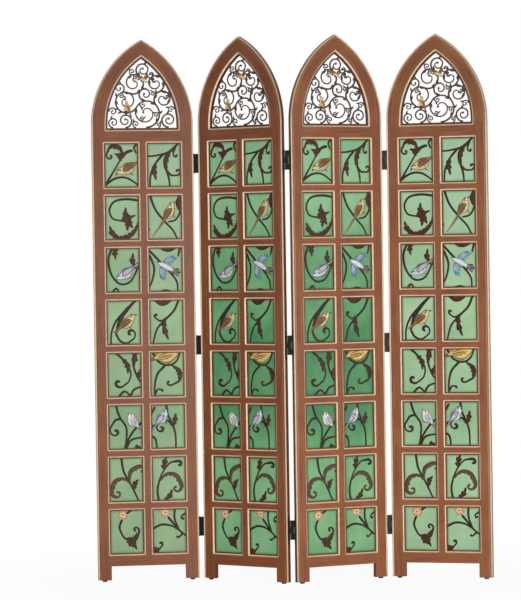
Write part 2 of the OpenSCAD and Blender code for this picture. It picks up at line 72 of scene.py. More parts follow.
# %% The panel's sizes
panel_w, panel_h, panel_t = 340.0, 1800.0, 18.0
foot_h, pin_out, leg_x = 5.0, 1.5, 147.5
arch_rise, arch_w, arch_foot_h = 286.0, 52.0, 10.4
arch_r = (arch_rise ** 2 + panel_w ** 2 / 4) / panel_w
arch_centre = arch_r - panel_w / 2
spring_z = panel_h - arch_rise
arch_base_z = spring_z - arch_foot_h
inner_x, lattice_low_z, lattice_high_z = 125.0, 89.2, 1452.2
muntin_w, bar_h, window_rows = 36.5, 33.8, 8
window_w = inner_x - muntin_w / 2
window_h = (lattice_high_z - lattice_low_z - (window_rows - 1) * bar_h) / window_rows
pitch = window_h + bar_h
column_x = (inner_x + muntin_w / 2) / 2
rebate_w, rebate_d, bead_w = 9.0, 5.5, 5.0
board_t, fret_t, fret_rim, fret_groove, groove_room = 3.0, 4.0, 2.5, 6.0, 0.5
edge_bead_d = 2.0
print("window", round(window_w, 2), "by", round(window_h, 2), "mm, arch radius", round(arch_r, 2), "mm")

# %% [markdown]
# Each panel stands at its own angle. The hinge pins and the foot pads are known points of a panel, so the
# record's joints and mounts give its place and its turn. The pieces are drawn once in the panel's frame and
# then carried to all four panels by this rule, which also keeps them right when the screen is folded to
# another angle.

# %% Where the four panels stand
joint_at = {j["name"]: np.array(j["pos_m"][:2]) for j in frame["joints"]}
rest_at = {m["name"]: np.array(m["pos_m"][:2]) for m in frame["record"]["mounts"]}
pin_x = (panel_w / 2 + pin_out) * mm
known_points = {
    1: ((-leg_x * mm, rest_at["rest_panel_1"]), (pin_x, joint_at["fold_12_outer"])),
    2: ((-pin_x, joint_at["fold_12_inner"]), (pin_x, joint_at["fold_23_left"])),
    3: ((-pin_x, joint_at["fold_23_right"]), (pin_x, joint_at["fold_34_inner"])),
    4: ((-pin_x, joint_at["fold_34_outer"]), (leg_x * mm, rest_at["rest_panel_4"])),
}
panel_place = {}
for panel, ((x_a, at_a), (x_b, at_b)) in known_points.items():
    distance = np.linalg.norm(at_b - at_a)
    along = (at_b - at_a) / distance
    panel_place[panel] = (at_a - x_a * along, along)
    turn = float(np.degrees(np.arctan2(along[1], along[0])))
    error = float(distance - (x_b - x_a)) / mm
    print("panel", panel, "turned by", round(turn, 2), "degrees, points off by", round(error, 3), "mm")


def to_panel(points, panel):
    """World place in metres of points in a panel's millimetres: centre + x along the panel + y square to it,
    and z above the pads."""
    (cx, cy), (ax, ay) = panel_place[panel]
    x, y, z = points[..., 0] * mm, points[..., 1] * mm, (points[..., 2] + foot_h) * mm
    return np.stack([cx + x * ax - y * ay, cy + x * ay + y * ax, z], axis=-1)


# %% [markdown]
# Most new pieces are one idea: a small outline, the section, carried along a line. The grid that results
# has one row for each point of the line and one column for each point of the section. A ring closes on
# itself, and a strip gets a cap at each end, so every piece is a closed skin.

# %% Grids of points made into meshes
def grid_quads(rows, columns, ring):
    """Faces of a grid whose columns close round the section: each joins point (i, j) to (i, j+1), (i+1, j+1)
    and (i+1, j). Caps are fans of quads."""
    i, j = np.meshgrid(np.arange(rows if ring else rows - 1), np.arange(columns), indexing="ij")
    after_i, after_j = (i + 1) % rows, (j + 1) % columns
    row, after_row = i * columns, after_i * columns
    quads = np.stack([row + j, row + after_j, after_row + after_j, after_row + j], -1)
    quads = quads.reshape(-1, 4)
    if ring:
        return quads
    k = np.arange(1, columns - 2, 2)
    cap = np.stack([np.zeros_like(k), k, k + 1, k + 2], -1)
    return np.concatenate([quads, cap[:, ::-1], cap + (rows - 1) * columns])


class Skin:
    """Collects grids in a panel's millimetres, with one paint colour at each point."""

    def __init__(self):
        self.points, self.faces, self.paints, self.count = [], [], [], 0

    def add(self, grid, ring=False, paint=(1.0, 1.0, 1.0)):
        """Adds a grid, with one colour for all of it, for each column or for each point."""
        rows, columns = grid.shape[:2]
        self.points.append(grid.reshape(-1, 3))
        self.faces.append(grid_quads(rows, columns, ring) + self.count)
        self.paints.append(np.broadcast_to(np.asarray(paint, float), (rows, columns, 3)).reshape(-1, 3))
        self.count += rows * columns

    def both_faces(self):
        """Adds the mirror image through the panel's middle plane, with its faces turned over so that they
        point outwards."""
        points, faces, paints = (np.concatenate(part) for part in (self.points, self.faces, self.paints))
        self.points = [points, points * (1, -1, 1)]
        self.faces = [faces, faces[:, ::-1] + self.count]
        self.paints = [paints, paints]
        self.count *= 2
        return self

    def piece(self, name, panel, material, stands_for=()):
        """One finished piece on a panel, riding on that panel's body."""
        mesh = bpy.data.meshes.new(name)
        world = to_panel(np.concatenate(self.points), panel)
        mesh.from_pydata(world.tolist(), [], np.concatenate(self.faces).tolist())
        mesh.update()
        mesh.shade_smooth()
        paint = mesh.color_attributes.new("paint", "FLOAT_COLOR", "POINT")
        colours = np.concatenate([np.concatenate(self.paints), np.ones((self.count, 1))], axis=1)
        paint.data.foreach_set("color", colours.ravel())
        mesh.materials.append(material)
        made = bpy.data.objects.new(name, mesh)
        bpy.context.scene.collection.objects.link(made)
        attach(made, f"panel_{panel}")
        if stands_for:
            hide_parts(*stands_for)
        return made


print("grids are ready")

# %% [markdown]
# ## Finishes
# Each finish is a small tree of nodes. The same few nodes come back in all of them, so each gets a helper: a
# mix of two colours, a noise, a ramp of colours. Most nodes in such a tree are plain sums. They are easier to
# read when they are written with the usual signs, so the output of a node gets a class that turns each sign
# into a Math node.

# %% Helpers for nodes
class Output:
    """The output of a node. Sums with it are written as with a number, and each adds a Math node. A
    comparison gives 1 where it holds and 0 elsewhere."""

    def __init__(self, socket):
        self.socket, self.tree = socket, socket.id_data

    def __add__(self, other):
        return math("ADD", self, other)

    def __sub__(self, other):
        return math("SUBTRACT", self, other)

    def __rsub__(self, other):
        return math("SUBTRACT", other, self)

    def __mul__(self, other):
        return math("MULTIPLY", self, other)

    def __abs__(self):
        return math("ABSOLUTE", self)

    def __gt__(self, other):
        return math("GREATER_THAN", self, other)

    def __lt__(self, other):
        return math("LESS_THAN", self, other)


def feed(node, inputs):
    """Sets each input of a node to a value, or joins it to the output of another node."""
    for key, value in inputs.items():
        if isinstance(value, Output):
            value.tree.links.new(value.socket, node.inputs[key])
        else:
            node.inputs[key].default_value = value


def add_node(tree, kind, inputs, out=0, **settings):
    """Adds a node with its settings and inputs, and gives one of its outputs."""
    made = tree.nodes.new(kind)
    for key, value in settings.items():
        setattr(made, key, value)
    feed(made, inputs)
    return Output(made.outputs[out])


def math(operation, a, b=0.0, clamp=False):
    """One operation on two numbers, of which at least one is an output."""
    tree = (a if isinstance(a, Output) else b).tree
    return add_node(tree, "ShaderNodeMath", {0: a, 1: b}, operation=operation, use_clamp=clamp)


def limited(value, gain):
    """The value times a gain, kept between 0 and 1."""
    return math("MULTIPLY", value, gain, clamp=True)


def mix(factor, a, b, blend="MIX"):
    """Colour a, which has to be an output, mixed with colour b: a times (1 - factor) + b times factor."""
    inputs = {"Factor": factor, 6: a, 7: b}
    return add_node(a.tree, "ShaderNodeMix", inputs, 2, data_type="RGBA", blend_type=blend)


def noise(vector, scale, detail=3.0, roughness=0.55):
    """Soft random values round 0.5, with about as many blots to the metre as the scale says."""
    inputs = {"Vector": vector, "Scale": scale, "Detail": detail, "Roughness": roughness}
    return add_node(vector.tree, "ShaderNodeTexNoise", inputs, "Fac")


def ramp(factor, *stops):
    """Colours at places between 0 and 1."""
    made = add_node(factor.tree, "ShaderNodeValToRGB", {"Fac": factor}, "Color")
    elements = made.socket.node.color_ramp.elements
    while len(elements) < len(stops):
        elements.new(0.5)
    for element, (place, colour) in zip(elements, stops):
        element.position, element.color = place, colour
    return made


def bump(height, strength, distance=0.001):
    """A normal that shows the light small heights that the mesh doesn't have."""
    inputs = {"Height": height, "Strength": strength, "Distance": distance}
    return add_node(height.tree, "ShaderNodeBump", inputs)


def material(name, roughness):
    """A new material, its node tree and its shader."""
    made = bpy.data.materials.new(name)
    made.use_nodes = True
    shader = made.node_tree.nodes["Principled BSDF"]
    feed(shader, {"Roughness": roughness})
    return made, made.node_tree, shader


print("helpers for nodes are ready")

# %% [markdown]
# Colours are noted as on a paint chart, from 0 to 255, and nodes want them linear. A pattern reads the
# object's own coordinates, turned into the panel's frame, so that wood grain runs along each member and stays
# on it in every pose.

# %% Helpers for colours and coordinates
def srgb(r, g, b):
    """A colour from a paint chart's 0 to 255 values to the linear values that nodes use."""
    c = np.array([r, g, b]) / 255
    return (*np.where(c <= 0.04045, c / 12.92, ((c + 0.055) / 1.055) ** 2.4), 1.0)


def grey(value):
    """A grey of that linear value."""
    return (value, value, value, 1.0)


def on_object(tree):
    """The object's own coordinates."""
    return add_node(tree, "ShaderNodeTexCoord", {}, "Object")


def in_panel(tree, panel):
    """The same, turned into the panel's frame, in metres: x across, y through, z above the floor."""
    (cx, cy), (ax, ay) = panel_place[panel]
    place = (-(cx * ax + cy * ay), cx * ay - cy * ax, 0.0)
    turn = (0, 0, -np.arctan2(ay, ax))
    inputs = {"Vector": on_object(tree), "Location": place, "Rotation": turn}
    return add_node(tree, "ShaderNodeMapping", inputs)


def xyz(vector):
    """The three parts of a vector."""
    made = add_node(vector.tree, "ShaderNodeSeparateXYZ", {"Vector": vector})
    return [Output(socket) for socket in made.socket.node.outputs]


print("helpers for colours and coordinates are ready")

# %% [markdown]
# The frame is stained brown wood with a satin coat. Three things make it read as wood: long streaks along
# the member, a slow change of tone from board to board, and edges where the stain has been rubbed thin.
# Painted shade makes it dark in the steps and on the edges of the panel, painted light makes it a little
# lighter towards the floor, and a thin tan line is painted inside the panel's outer edge. Each panel's
# colour is multiplied by its own factor, which is painted light and shade: it stands for how brightly each
# panel is lit and for the sheen on the right-hand panel. On the arch the streaks follow the bend, so the
# coordinates there become the distance from the arc's centre and the way along it.

# %% Stained wood
stain_dark, stain, stain_light = srgb(98, 50, 24), srgb(132, 78, 40), srgb(155, 99, 55)
# The first colour on the next line is the dark brown of the painted shade in the steps and on the edges.
painted_shade_brown, reddish = srgb(44, 22, 13), srgb(138, 70, 46)
rubbed, tan = srgb(176, 122, 78), srgb(190, 146, 106)
streaks_per_m, pores_per_m, tones_per_m, along_grain = 210.0, 900.0, 7.0, 0.035
pore_level, pore_depth, tone_share = 0.64, 0.4, 0.35
rub_radius, rub_gain, rub_marks_per_m, rub_depth = 1.2, 5.0, 60.0, 0.9
painted_light_at_floor, painted_shade_per_m = 1.16, 0.17
step_depth, step_painted_shade = 2.5, 0.62
tan_in, tan_half_w, tan_depth = 9.5, 0.7, 0.75


def stained_wood(name, panel, grain, tone):
    """Streaks are noise on coordinates that are stretched along the grain: "up", "across" or "bend". An edge
    shows where the rounded normal and the true one differ, so it is worn by 1 - their product."""
    made, tree, shader = material(name, 0.42)
    vector = in_panel(tree, panel)
    x, y, z = xyz(vector)
    # Painted light and shade: the wood is made lighter towards the floor and darker higher up.
    light = painted_light_at_floor - z * painted_shade_per_m
    edge_distance = None
    if grain == "up":
        edge_distance = panel_w / 2 * mm - abs(x)
    if grain == "bend":
        out, up = abs(x) + arch_centre * mm, z - (spring_z + foot_h) * mm
        radius = math("SQRT", out * out + up * up)
        edge_distance = arch_r * mm - radius
        x, z = radius, math("ARCTAN2", up, out) * (arch_r * mm)
    if grain == "across":
        x, z = z, x
    stretched = add_node(tree, "ShaderNodeCombineXYZ", {"X": x, "Y": y, "Z": z * along_grain})
    streaks = noise(stretched, streaks_per_m, 4.0, 0.6)
    pores = noise(stretched, pores_per_m, 2.0) > pore_level
    tones = noise(vector, tones_per_m, 2.0)
    colour = ramp(streaks, (0.28, stain_dark), (0.5, stain), (0.74, stain_light))
    slow_colour = ramp(tones, (0.3, stain_dark), (0.5, reddish), (0.7, stain_light))
    colour = mix(tone_share, colour, slow_colour)
    colour = mix(pores * pore_depth, colour, stain_dark)
    normals = {0: add_node(tree, "ShaderNodeBevel", {"Radius": rub_radius * mm}, samples=4),
               1: add_node(tree, "ShaderNodeNewGeometry", {}, "Normal")}
    facing = add_node(tree, "ShaderNodeVectorMath", normals, "Value", operation="DOT_PRODUCT")
    marks = noise(vector, rub_marks_per_m) * rub_depth
    colour = mix(limited(1.0 - facing, rub_gain) * marks, colour, rubbed)
    # Painted light and shade: the panel's own factor brightens or darkens the wood.
    colour = mix(1.0, colour, (*tone, 1.0), "MULTIPLY")
    colour = mix(1.0, colour, light, "MULTIPLY")
    depth = abs(y)
    # Painted shade: the steps and the panel's edge faces, where shade falls, are darkened towards dark brown.
    in_step = depth < (panel_t / 2 - step_depth) * mm
    colour = mix(in_step * step_painted_shade, colour, painted_shade_brown)
    if edge_distance is not None:
        on_line = abs(edge_distance - tan_in * mm) < tan_half_w * mm
        on_face = depth > (panel_t / 2 - 0.3) * mm
        colour = mix(on_line * tan_depth * on_face, colour, tan)
    feed(shader, {"Base Color": colour, "Roughness": streaks * 0.2 + 0.32, "Coat Weight": 0.08,
                  "Coat Roughness": 0.3, "Specular IOR Level": 0.35, "Normal": bump(streaks, 0.12)})
    return made


def give(node, finish):
    """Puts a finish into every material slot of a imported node."""
    for slot in frame["nodes"][node].material_slots:
        slot.material = finish


# Painted light and shade: each panel's factor stands for how brightly that panel is lit, and the bluer,
# lighter factor of panel 4 stands for its sheen.
panel_painted_light = {1: (0.85, 0.78, 0.67), 2: (0.84, 0.79, 0.72), 3: (1.04, 1.07, 1.1), 4: (1.04, 1.18, 1.46)}
for panel in panel_place:
    upright = stained_wood(f"stained_upright_{panel}", panel, "up", panel_painted_light[panel])
    level = stained_wood(f"stained_rail_{panel}", panel, "across", panel_painted_light[panel])
    bent = stained_wood(f"stained_arch_{panel}", panel, "bend", panel_painted_light[panel])
    for node in ("stile_left", "stile_right"):
        give(f"{node}_{panel}", upright)
    for node in ("rails", "lattice_front", "lattice_back"):
        give(f"{node}_{panel}", level)
    give(f"arch_{panel}", bent)
print("wood on", 6 * len(panel_place), "nodes")

# %% [markdown]
# The boards are painted green in thin, uneven coats. Painted light and sheen make the two outer panels
# paler than the two inner ones, and painted shade makes the green of the inner ones deepest at middle
# height. On all of them the upper windows are paler and greyer. Near each window's edge painted shade
# darkens the green, which is worked out from the distance to the window's edge: the pattern repeats with
# the windows' pitch.

# %% Green paint
# Painted light: the outer panels 1 and 4 get paler green paints, standing for more light and sheen, and the
# inner panels deeper ones.
greens_with_painted_light = {
    1: (srgb(106, 148, 98), srgb(140, 174, 128), srgb(160, 192, 150)),
    2: (srgb(46, 120, 72), srgb(110, 170, 114), srgb(150, 200, 150)),
    3: (srgb(30, 108, 62), srgb(94, 156, 102), srgb(144, 196, 142)),
    4: (srgb(124, 168, 124), srgb(160, 196, 154), srgb(182, 212, 176)),
}
# The next line says how much painted shade deepens each panel's green at middle height.
painted_shade_at_middle = {1: 0.0, 2: 0.2, 3: 0.2, 4: 0.0}
# The next colour is the paler, greyer green of the upper windows.
greyer_green_above = srgb(150, 184, 158)
clouds_per_m, drifts_per_m, brush_marks_per_m, along_brush = 9.0, 2.6, 130.0, 0.12
cloud_share, drift_share, brush_share = 0.35, 0.55, 0.1
middle_shade_z, middle_shade_gain, middle_shade_level = 0.78, 2.0, 0.45
# The next line sizes the painted shade near each window's edge.
edge_shade_w, edge_shade_power, edge_shade_depth, edge_shade_dark = 9.0, 1.6, 0.55, 0.45
greyer_from_z, greyer_gain, greyer_depth = 0.95, 1.6, 0.36


def green_paint(name, panel, coats, middle_shade):
    """Mottled paint: three noises for the coats, deepened by painted shade at middle height, and painted
    shade where the distance to the window's edge is small."""
    made, tree, shader = material(name, 0.45)
    vector = in_panel(tree, panel)
    x, y, z = xyz(vector)
    brushed = add_node(tree, "ShaderNodeMapping", {"Vector": vector, "Scale": (1, 1, along_brush)})
    cloud, drift = noise(vector, clouds_per_m, 4.0), noise(vector, drifts_per_m, 1.0)
    brush = noise(brushed, brush_marks_per_m)
    blend = cloud * cloud_share + drift * drift_share + brush * brush_share
    # Painted shade: the inner panels' green is deepened at middle height.
    blend = blend + (limited(abs(z - middle_shade_z), middle_shade_gain) - middle_shade_level) * middle_shade
    colour = ramp(blend, (0.32, coats[0]), (0.52, coats[1]), (0.72, coats[2]))
    # Painted shade: the green is darkened near each window's edge, where the bars and beads shade the board.
    side = abs(abs(x) - column_x * mm)
    level = z - (lattice_low_z + window_h / 2 + foot_h - pitch / 2) * mm
    height = abs(math("FLOORED_MODULO", level, pitch * mm) - pitch / 2 * mm)
    near_side = side - (window_w / 2 - edge_shade_w) * mm
    near_top = height - (window_h / 2 - edge_shade_w) * mm
    near = limited(math("MAXIMUM", near_side, near_top), 1 / (edge_shade_w * mm))
    # The upper windows are made paler and greyer.
    colour = mix(limited(z - greyer_from_z, greyer_gain) * greyer_depth, colour, greyer_green_above)
    painted_shade_green = (*[edge_shade_dark * c for c in coats[0][:3]], 1.0)
    colour = mix(math("POWER", near, edge_shade_power) * edge_shade_depth, colour, painted_shade_green)
    feed(shader, {"Base Color": colour, "Roughness": brush * 0.25 + 0.3, "Normal": bump(brush, 0.1, 0.0006)})
    return made


for panel in panel_place:
    give(f"painted_board_{panel}", green_paint(f"green_paint_{panel}", panel, greens_with_painted_light[panel], painted_shade_at_middle[panel]))
print("paint on", len(panel_place), "boards")

# %% [markdown]
# The hinges are black lacquered steel. The pads under the legs are dark rubber. Both are small, so a fine
# grain and a slight change of gloss are enough.

# %% Hinges and pads
def speckled(name, dark, light, roughness, metal, scale):
    """A fine speckle between two colours, with a matching change of gloss."""
    made, tree, shader = material(name, roughness)
    speck = noise(on_object(tree), scale, 4.0)
    feed(shader, {"Base Color": ramp(speck, (0.35, dark), (0.7, light)), "Metallic": metal,
                  "Roughness": speck * 0.3 + (roughness - 0.15), "Specular IOR Level": 0.25,
                  "Normal": bump(speck, 0.08, 0.0004)})
    return made


hinge_black = speckled("black_hinge_steel", srgb(6, 5, 5), srgb(20, 18, 16), 0.5, 0.0, 420.0)
pin_steel = speckled("dark_pin_steel", srgb(30, 28, 27), srgb(66, 62, 58), 0.34, 0.8, 600.0)
pad_rubber = speckled("dark_pad_rubber", srgb(34, 27, 23), srgb(58, 46, 38), 0.7, 0.0, 500.0)
for node in frame["nodes"]:
    if node.startswith(("hinge_leaves", "hinge_links")):
        give(node, hinge_black)
    if node.startswith(("hinge_pins", "hinge_screws")):
        give(node, pin_steel)
    if node.startswith("feet"):
        give(node, pad_rubber)
print("metal and rubber are on their nodes")

# %% [markdown]
# Each raised detail carries painted light on its crown and painted shade on its flanks, in the colour at
# its points. One finish therefore serves the beads, the openwork and the picture: it reads the paint colour
# that each piece carries at its points, and breaks it up with brush marks.

# %% Brushed paint
def brushed_paint(name, roughness, marks, strength):
    """The piece's own paint colour, made darker and lighter by noise."""
    made, tree, shader = material(name, roughness)
    paint = add_node(tree, "ShaderNodeAttribute", {}, "Color", attribute_name="paint")
    mark = noise(on_object(tree), marks, 4.0)
    tone = ramp(mark, (0.3, grey(1 - strength)), (0.7, grey(1 + strength)))
    feed(shader, {"Base Color": mix(1.0, paint, tone, "MULTIPLY"), "Specular IOR Level": 0.3,
                  "Normal": bump(mark, 0.15, 0.0004)})
    return made


bead_paint = brushed_paint("cream_bead_paint", 0.4, 90.0, 0.12)
carving_paint = brushed_paint("dark_carving_stain", 0.5, 160.0, 0.3)
picture_paint = brushed_paint("picture_paint", 0.55, 260.0, 0.34)
print("brushed paints are ready")

# %% [markdown]
# ## Cream beads
# Every window and the arch opening has a small cream moulding in its step, and another runs along the
# panel's outer edge. On the real frame they are thin strips bent round the corners. A rounded section is
# carried along each path: the path gives, for a distance u in from its outer side, the point at that
# distance, so corners stay true.

# %% Paths of the beads
def rounded_path(centre, w, h, r, steps=4):
    """Path of a rounded rectangle: the point at distance u in from it is corner centre + (r - u) times the
    corner's direction."""
    angle = np.radians(90 * np.arange(4)[:, None] - 90 + 90 * np.arange(steps + 1) / steps)
    sign = np.array([(1, -1), (1, 1), (-1, 1), (-1, -1)])
    corner = np.asarray(centre) + sign * (w / 2 - r, h / 2 - r)
    start = np.repeat(corner, steps + 1, axis=0)
    direction = np.stack([np.cos(angle).ravel(), np.sin(angle).ravel()], -1)
    return lambda u: start[:, None] + (r - u)[None, :, None] * direction[:, None]


def arch_side(inset, u, steps=26):
    """Right half of the arch at distance inset + u in: angle s times the tip's angle on an arc of radius
    arch_r - inset - u, so both halves meet on the middle line."""
    radius = arch_r - inset - u
    s = np.linspace(0, 1, steps + 1)[:, None]
    angle = s * np.arccos(arch_centre / radius)[None, :]
    return np.stack([radius * np.cos(angle) - arch_centre, radius * np.sin(angle) + spring_z], -1)


def mirrored(half):
    """A whole path from its right half, which ends on the middle line."""
    return np.concatenate([half, (half * (-1, 1))[-2::-1]])


def arch_opening_path(inset, low, r, steps=4):
    """Path round the arch opening: a rounded or square foot at the level low, the arc to the tip, and then
    the other half."""
    half_w = panel_w / 2 - inset

    def path(u):
        if r:
            angle = np.radians(-90 + 90 * np.arange(steps + 1) / steps)[:, None]
            foot = np.stack([half_w - r + (r - u) * np.cos(angle), low + r + (r - u) * np.sin(angle)], -1)
        else:
            foot = np.stack([half_w - u, low + u], -1)[None]
        return mirrored(np.concatenate([foot, arch_side(inset, u)]))
    return path


def edge_path(u):
    """Path up the panel's outer edge, over the tip and down the other side."""
    foot = np.stack([panel_w / 2 - u, np.zeros_like(u)], -1)[None]
    return mirrored(np.concatenate([foot, arch_side(0.0, u)]))


def along_path(path, u, height, face):
    """Grid of a section carried along a path: u goes inwards, and height grows from the level face towards
    the front."""
    flat = path(np.asarray(u, float))[::-1]
    y = np.broadcast_to(-face - np.asarray(height, float), flat.shape[:2])
    return np.stack([flat[..., 0], y, flat[..., 1]], -1)


print("paths of the beads are ready")

# %% [markdown]
# The window bead is a cove with a flat top: its colour carries painted light on the crown and painted
# shade in the cove. The bead along the outer edge is a low half round, and its paint turns darker, to tan,
# on the arch. Both are mirrored to the back.

# %% Beads round the windows, the arch opening and the outer edge
cream, edge_cream = np.array(srgb(247, 213, 178)[:3]), np.array(srgb(250, 224, 188)[:3])
cream_shade = np.array(srgb(138, 96, 66)[:3])
bead_u = [0, 0, 0.5, 1.5, 2.6, 3.7, 4.6, 4.9, 4.9, 2.5]
bead_v = [0, 4.9, 5.4, 5.5, 4.9, 3.6, 2.0, 1.1, 0, 0]
# Painted light and shade across the bead: light on the crown, shade in the cove and at the lip.
bead_light = np.array([0.0, 0.1, 0.2, 0.45, 0.95, 1.0, 1.0, 0.8, 0.2, 0.0])[:, None]
bead_colour = cream_shade + (cream - cream_shade) * bead_light
edge_u = [0, 0.15, 0.9, 2.0, 3.5, 4.6, 5.35, 5.5]
edge_v = [0, 0.9, 1.65, 1.98, 1.98, 1.65, 0.9, 0]
step_face = panel_t / 2 - rebate_d
tan_below, tan_run, tan_share = 60, 90, 0.6


def window_middle(row, side):
    """Middle of a window: rows are counted from the top, and side is 0 at the left and 1 at the right."""
    low_middle = lattice_low_z + window_h / 2
    return np.array([(2 * side - 1) * column_x, low_middle + (window_rows - 1 - row) * pitch])


bead_skin = Skin()
step_w, step_h = window_w + 2 * rebate_w, window_h + 2 * rebate_w
for row in range(window_rows):
    for side in (0, 1):
        path = rounded_path(window_middle(row, side), step_w, step_h, bead_w)
        bead_skin.add(along_path(path, bead_u, bead_v, step_face), ring=True, paint=bead_colour)
arch_bead = arch_opening_path(arch_w - rebate_w, arch_base_z - rebate_w, bead_w)
bead_skin.add(along_path(arch_bead, bead_u, bead_v, step_face), ring=True, paint=bead_colour)
bead_skin.both_faces()
edge_skin = Skin()
edge_grid = along_path(edge_path, edge_u, edge_v, panel_t / 2 - edge_bead_d)
# The edge bead's cream turns darker, towards tan, on the arch.
on_arch = np.clip((edge_grid[..., 2:] - spring_z + tan_below) / tan_run, 0, 1) * tan_share
edge_skin.add(edge_grid, paint=edge_cream + (cream_shade - edge_cream) * on_arch)
edge_skin.both_faces()
for panel in panel_place:
    bead_skin.piece(f"cream_beads_{panel}", panel, bead_paint, [f"window_beads_{panel}"])
    edge_skin.piece(f"cream_edge_{panel}", panel, bead_paint, [f"edge_beads_{panel}"])
print("beads:", bead_skin.count, "points on each panel, edge:", edge_skin.count)

# %% [markdown]
# ## Strokes
# The openwork and the picture are both drawn with strokes: a line that may end in a curl, a half width on
# each side of it, and a height. A leaf is a short, wide stroke with teeth, and a bird is a few strokes on
# top of each other.

# %% Lines and strokes
def smooth_line(points, steps=10):
    """A line through the points: each span is a cubic whose slope at a point is half the way from the point
    before to the point after."""
    p = np.asarray(points, float)
    p = np.concatenate([[2 * p[0] - p[1]], p, [2 * p[-1] - p[-2]]])
    t = np.linspace(0, 1, steps, endpoint=False)[None, :, None]
    a, b, c, d = (p[k:len(p) - 3 + k][:, None] for k in range(4))
    square, cube = 2 * a - 5 * b + 4 * c - d, 3 * b - a - 3 * c + d
    spans = 0.5 * (2 * b + (c - a) * t + square * t ** 2 + cube * t ** 3)
    return np.concatenate([spans.reshape(-1, 2), p[-2:-1]])


curl_fullness, curl_mean, curl_shrink, curl_ease = 1.2, 0.56, 0.875, 0.8


def with_curl(line, radius, sense, turns, step=0.7):
    """Adds a curl at the line's end: the heading turns faster from step to step, as on a circle whose radius
    shrinks by curl_shrink times the way s to the power curl_ease, to an eighth at the tip."""
    turns = turns * curl_fullness
    length = 2 * np.pi * radius * turns * curl_mean
    n = max(int(length / step), 6)
    s = np.linspace(0, 1, n)
    bend = sense * np.cumsum(1 / (1 - curl_shrink * s ** curl_ease))
    bend *= 2 * np.pi * turns / abs(bend[-1])
    start = np.arctan2(*(line[-1] - line[-2])[::-1])
    way = np.stack([np.cos(start + bend), np.sin(start + bend)], -1) * (length / n)
    return np.concatenate([line, line[-1] + np.cumsum(way, axis=0)])


def beside(line):
    """Unit vector to the left of the line at each point: the tangent from the neighbouring points, turned by
    a quarter."""
    tangent = np.gradient(line, axis=0)
    tangent /= np.maximum(np.linalg.norm(tangent, axis=1, keepdims=True), 1e-9)
    return np.stack([-tangent[:, 1], tangent[:, 0]], -1)


def stroke(line, left, right, section, base, height):
    """Grid of a stroke: line + side times the half width, and base + rise times the height, for each point of
    the section (side, rise)."""
    side, rise = np.asarray(section, float).T
    wide = np.where(side[None, :] > 0, side[None, :] * left[:, None], side[None, :] * right[:, None])
    flat = line[:, None] + beside(line)[:, None] * wide[..., None]
    y = -(base + rise[None, :] * np.broadcast_to(height, len(line))[:, None])
    return np.stack([flat[..., 0], y, flat[..., 1]], -1)


print("strokes are ready")

# %% [markdown]
# ## Carved openwork
# The arch is filled with scrolls that grow from the rim and from each other. A scroll is a circle whose
# radius shrinks slowly and then fast. Where a child scroll leaves its parent, it touches the parent's line
# and turns the other way, as a vine does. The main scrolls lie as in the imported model, with rounded strokes
# in place of flat ones, and small curls are added inside the large scrolls.

# %% Scrolls of the openwork
fret_half_w = panel_w / 2 - arch_w
fret_h = np.sqrt((arch_r - arch_w) ** 2 - arch_centre ** 2) + arch_foot_h
scroll_w, scroll_tip_w, bud_r, slim_r = 6.4, 3.8, 4.0, 24.0
spur_l, spur_w, bird_l = 17.0, 7.0, 46.0
scroll_shrink, scroll_power = 0.8, 1.35
root_in = fret_rim + scroll_w / 4


def fx(share):
    """Place across the openwork: share times its half width."""
    return share * fret_half_w


def fz(share):
    """Height in the openwork: its foot + share times its height."""
    return arch_base_z + share * fret_h


def scroll_radius(s, t):
    """Radius of a scroll at t: its radius times (1 - scroll_shrink times t to the power scroll_power)."""
    return s[2] * (1 - scroll_shrink * np.power(t, scroll_power))


def scroll_point(s, t):
    """Point of a scroll at t: centre + radius along the angle, which is the start angle + sense times the
    turns done."""
    angle, radius = np.radians(s[3] + s[4] * 360 * s[5] * np.asarray(t)), scroll_radius(s, t)
    return np.stack([s[0] + radius * np.cos(angle), s[1] + radius * np.sin(angle)], -1)


def branch(parent, x, z, turns=1.6):
    """A scroll round (x, z) that touches its parent: its radius is the distance left over, and it turns the
    other way. A scroll is noted as its middle x and z, radius, start angle, sense and turns."""
    away = np.array([x - parent[0], z - parent[1]])
    angle = np.degrees(np.arctan2(away[1], away[0]))
    part = ((angle - parent[3]) * parent[4]) % 360 / (360 * parent[5])
    return [x, z, np.linalg.norm(away) - scroll_radius(parent, part), angle + 180, -parent[4], turns]


def foot_scroll(x, z, sense, turns):
    """A scroll that starts on the foot of the rim."""
    return [fx(x), fz(z), fz(z) - arch_base_z - root_in, 270, sense, turns]


def side_scroll(side, x, z, sense, turns):
    """A scroll that starts on the arc of the rim, which is at x = root of (arc's radius squared - height
    squared) - the arc's centre."""
    reach = np.sqrt((arch_r - arch_w) ** 2 - (fz(z) - spring_z) ** 2) - arch_centre - root_in
    return [side * fx(x), fz(z), reach - fx(x), 90 - 90 * side, sense, turns]


inner_turns = 1.15


def inner_curl(parent, t, share):
    """A small curl inside its parent: it leaves the parent's line at t and turns the same way, but faster."""
    angle = parent[3] + parent[4] * 360 * parent[5] * t
    inward = -np.array([np.cos(np.radians(angle)), np.sin(np.radians(angle))])
    x, z = scroll_point(parent, t) + share * parent[2] * inward
    return [x, z, share * parent[2], angle, parent[4], inner_turns]


